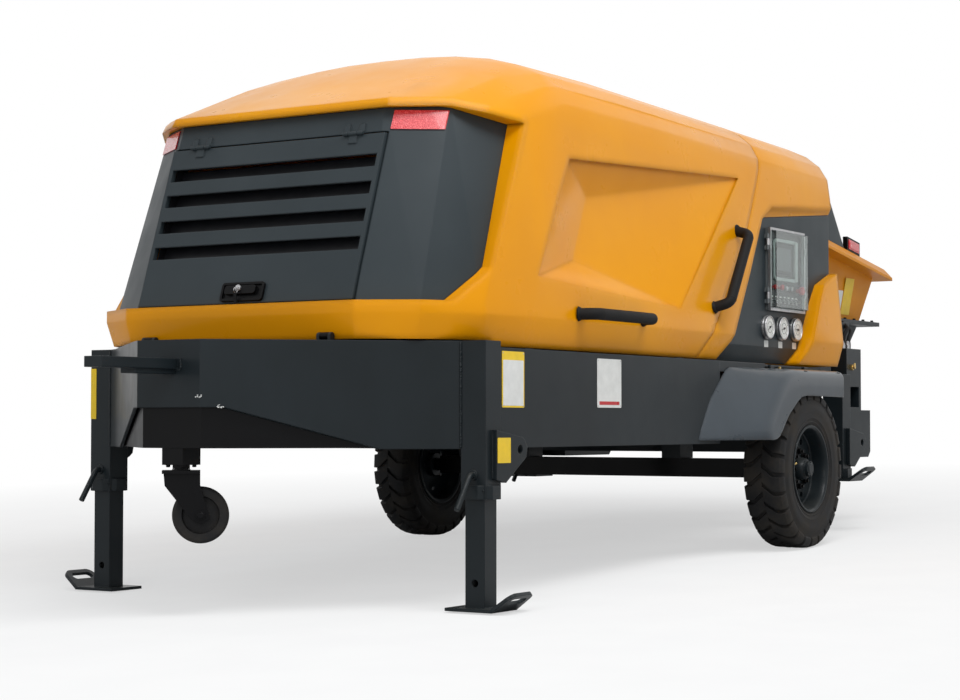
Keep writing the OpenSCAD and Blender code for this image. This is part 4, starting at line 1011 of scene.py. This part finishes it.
def rounded_path(points, radius, steps=6):
    """The same path with its inner corners rounded."""
    path = [points[0]]
    for a, b, c in zip(points, points[1:], points[2:]):
        into, away = (b - a).normalized(), (c - b).normalized()
        path += corner_points(b - into * radius, b, b + away * radius, steps)
    path.append(points[-1])
    return path


def side_at(z):
    """Distance of the hood's side from the middle, at a height."""
    return 953 - 0.093 * (z - 961)


# Each grab handle has its two feet and its stand-off.
HANDLES = ((330, 1490, 640, 1114, 76), (1905, 1028, 1350, 1028, 72))
FOOT_SINK, FOOT_POINTS = 4, 8


def handles():
    shape = Shape()
    for _, s in SIDES:
        for x0, z0, x1, z1, out in HANDLES:
            p = mm(x0, s * (side_at(z0) - FOOT_SINK), z0)
            q = mm(x1, s * (side_at(z1) - FOOT_SINK), z1)
            lift = Vector((0, s * (out + FOOT_SINK) / 1000, 0))
            path = rounded_path([p, p.lerp(q, 0.06) + lift, p.lerp(q, 0.94) + lift, q], 0.03)
            n = len(path)
            radii = [0.0205 if FOOT_POINTS <= i < n - FOOT_POINTS else 0.0242 for i in range(n)]
            shape.tube(path, radii, 20)
            for end, inner in ((p, path[1]), (q, path[-2])):
                way = (inner - end).normalized()
                shape.rod(end + way * 0.004, end + way * 0.014, 0.031, 0.027)
            for t in (0.1, 0.9):
                mid = p.lerp(q, t) + lift
                shape.ring(mid, q - p, 0.0215, 0.003, 24, 8)
    piece = shape.build("grab_handles", GRIP, "hood")
    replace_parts(piece, "hood_handles")


def lamp_lenses():
    """Red lenses on the tail lamps, in line with the hopper's sloped rim."""
    rear_x, rear_z, slope = -1885, 1447, (1569 - 1447) / 925
    x, above_rim = -1397.5, 37
    z = rear_z + slope * (x - rear_x) + above_rim
    for name, s in SIDES:
        along = Vector((-s, 0, -slope * s)).normalized()
        shape = Shape().plate(mm(x, s * 796, z), along, Z_UP, 0.148, 0.052, 0.004, 0.006)
        shape.plate(mm(x, s * 799, z), along, Z_UP, 0.132, 0.038, 0.004, 0.004)
        shape.build(f"lamp_lens_{name}", RED_LENS, bevel=0.001)


# Each hose has its bend radius, its own radius and its route.
HOSES = (
    (0.025, 0.011, (-1130, 838, 1000), (-1130, 846, 1060), (-1180, 850, 1095), (-1215, 800, 1128)),
    (0.022, 0.009, (-1175, 845, 988), (-1175, 852, 1040), (-1230, 846, 1080), (-1260, 800, 1120)),
)


def rear_hoses():
    """Hydraulic lines at the rear columns, fixed at both ends."""
    for name, s in SIDES:
        hose = Shape()
        for bend, r, *route in HOSES:
            hose.tube(rounded_path([mm(x, s * y, z) for x, y, z in route], bend), r, 14)
        hose.build(f"hydraulic_hoses_{name}", GRIP)
        ends = Shape()
        for x, y, z in ((-1130, 838, 986), (-1175, 845, 986)):
            ends.rod(mm(x, s * y, z), mm(x, s * y, z + 22), 0.015, seg=6)
            ends.rod(mm(x, s * y, z + 20), mm(x, s * y, z + 40), 0.0125, 0.0135)
        ends.build(f"hose_fittings_{name}", STEEL)


def caster_details():
    """Nuts on the axle of the caster, which stands turned and trails its pivot."""
    turn = math.radians(-50)
    trail = Vector((-math.cos(turn), -math.sin(turn), 0)) * 0.072
    across = Vector((-math.sin(turn), math.cos(turn), 0))
    hub = mm(CASTER_X, 0, 251) + trail
    shape = Shape()
    for s in (-1, 1):
        hex_bolt(shape, hub + across * s * 0.047, across * s, 0.013, 0.016)
    shape.build("caster_axle_nuts", BLACK, "caster_swivel")


louvre_shade_sheet()
door_latch()
gauge_details()
box_interior()
cover_fittings()
signs()
welds()
wheels()
fender_shells()
nose_apron()
scuffs()
small_bolts()
leg_pin_handles()
handles()
lamp_lenses()
rear_hoses()
caster_details()


# Floor, world and lights
WHITE = (1.0, 1.0, 1.0, 1.0)
SKY_STRENGTH = 0.46
GLOW_NEAR, GLOW_FAR, GLOW_LOW = 2.6, 7.5, 0.55


def make_floor():
    """A pale floor that keeps the shadow, and shows the camera more white further out."""
    mesh = bpy.data.meshes.new("floor")
    bm = bmesh.new()
    bmesh.ops.create_grid(bm, x_segments=1, y_segments=1, size=60.0)
    bm.to_mesh(mesh)
    bm.free()
    floor = put(bpy.data.objects.new("floor", mesh))
    n = Nodes("floor_pale")
    diffuse = n.add("BsdfDiffuse", Roughness=0.9)
    speck = n.mix(n.ramp(n.noise(3.0, 5.0), 0.3, 0.7), (0.80, 0.80, 0.80), (0.84, 0.84, 0.835))
    n.link(speck, diffuse.inputs["Color"])
    glow = n.add("Emission", Color=WHITE, Strength=1.0)
    distance = n.add("VectorMath", operation="LENGTH")
    n.link(n.coords, distance.inputs[0])
    far = n.ramp(distance.outputs["Value"], GLOW_NEAR, GLOW_FAR, GLOW_LOW, 1.0)
    both = n.add("MixShader")
    n.link(n.times(n.add("LightPath").outputs["Is Camera Ray"], far), both.inputs["Fac"])
    n.link(diffuse.outputs[0], both.inputs[1])
    n.link(glow.outputs[0], both.inputs[2])
    mesh.materials.append(n.surface(both.outputs[0]))


def make_world():
    """A soft sky for light, which camera, glossy and transmission rays see as white."""
    world = bpy.data.worlds.new("studio")
    world.use_nodes = True
    tree = world.node_tree
    tree.nodes.clear()

    def add(kind, **values):
        node = tree.nodes.new("ShaderNode" + kind)
        for key, value in values.items():
            node.inputs[key].default_value = value
        return node

    light = add("Background", Color=(0.94, 0.97, 1.0, 1.0), Strength=SKY_STRENGTH)
    shown = add("Background", Color=WHITE, Strength=1.0)
    rays = add("LightPath").outputs
    seen = rays["Is Camera Ray"]
    for kind in ("Is Glossy Ray", "Is Transmission Ray"):
        either = add("Math")
        either.operation = "MAXIMUM"
        tree.links.new(seen, either.inputs[0])
        tree.links.new(rays[kind], either.inputs[1])
        seen = either.outputs[0]
    mix = add("MixShader")
    tree.links.new(seen, mix.inputs["Fac"])
    tree.links.new(light.outputs[0], mix.inputs[1])
    tree.links.new(shown.outputs[0], mix.inputs[2])
    tree.links.new(mix.outputs[0], add("OutputWorld").inputs["Surface"])
    bpy.context.scene.world = world


def area_light(name, place, target, size, power):
    data = bpy.data.lights.new(name, "AREA")
    data.shape = "RECTANGLE"
    data.size, data.size_y = size
    data.energy = power
    lamp = put(bpy.data.objects.new(name, data))
    aim = Vector(target) - Vector(place)
    turn = aim.to_track_quat("-Z", "Y").to_matrix().to_4x4()
    lamp.matrix_world = Matrix.Translation(place) @ turn


make_floor()
make_world()
area_light("key", (2.5, 4.5, 7.5), (0.0, 0.0, 1.0), (6.0, 3.0), 410)
area_light("front", (8.0, 2.0, 3.0), (1.5, 0.0, 1.2), (3.0, 2.4), 70)

bpy.context.scene.view_settings.view_transform = "Standard"
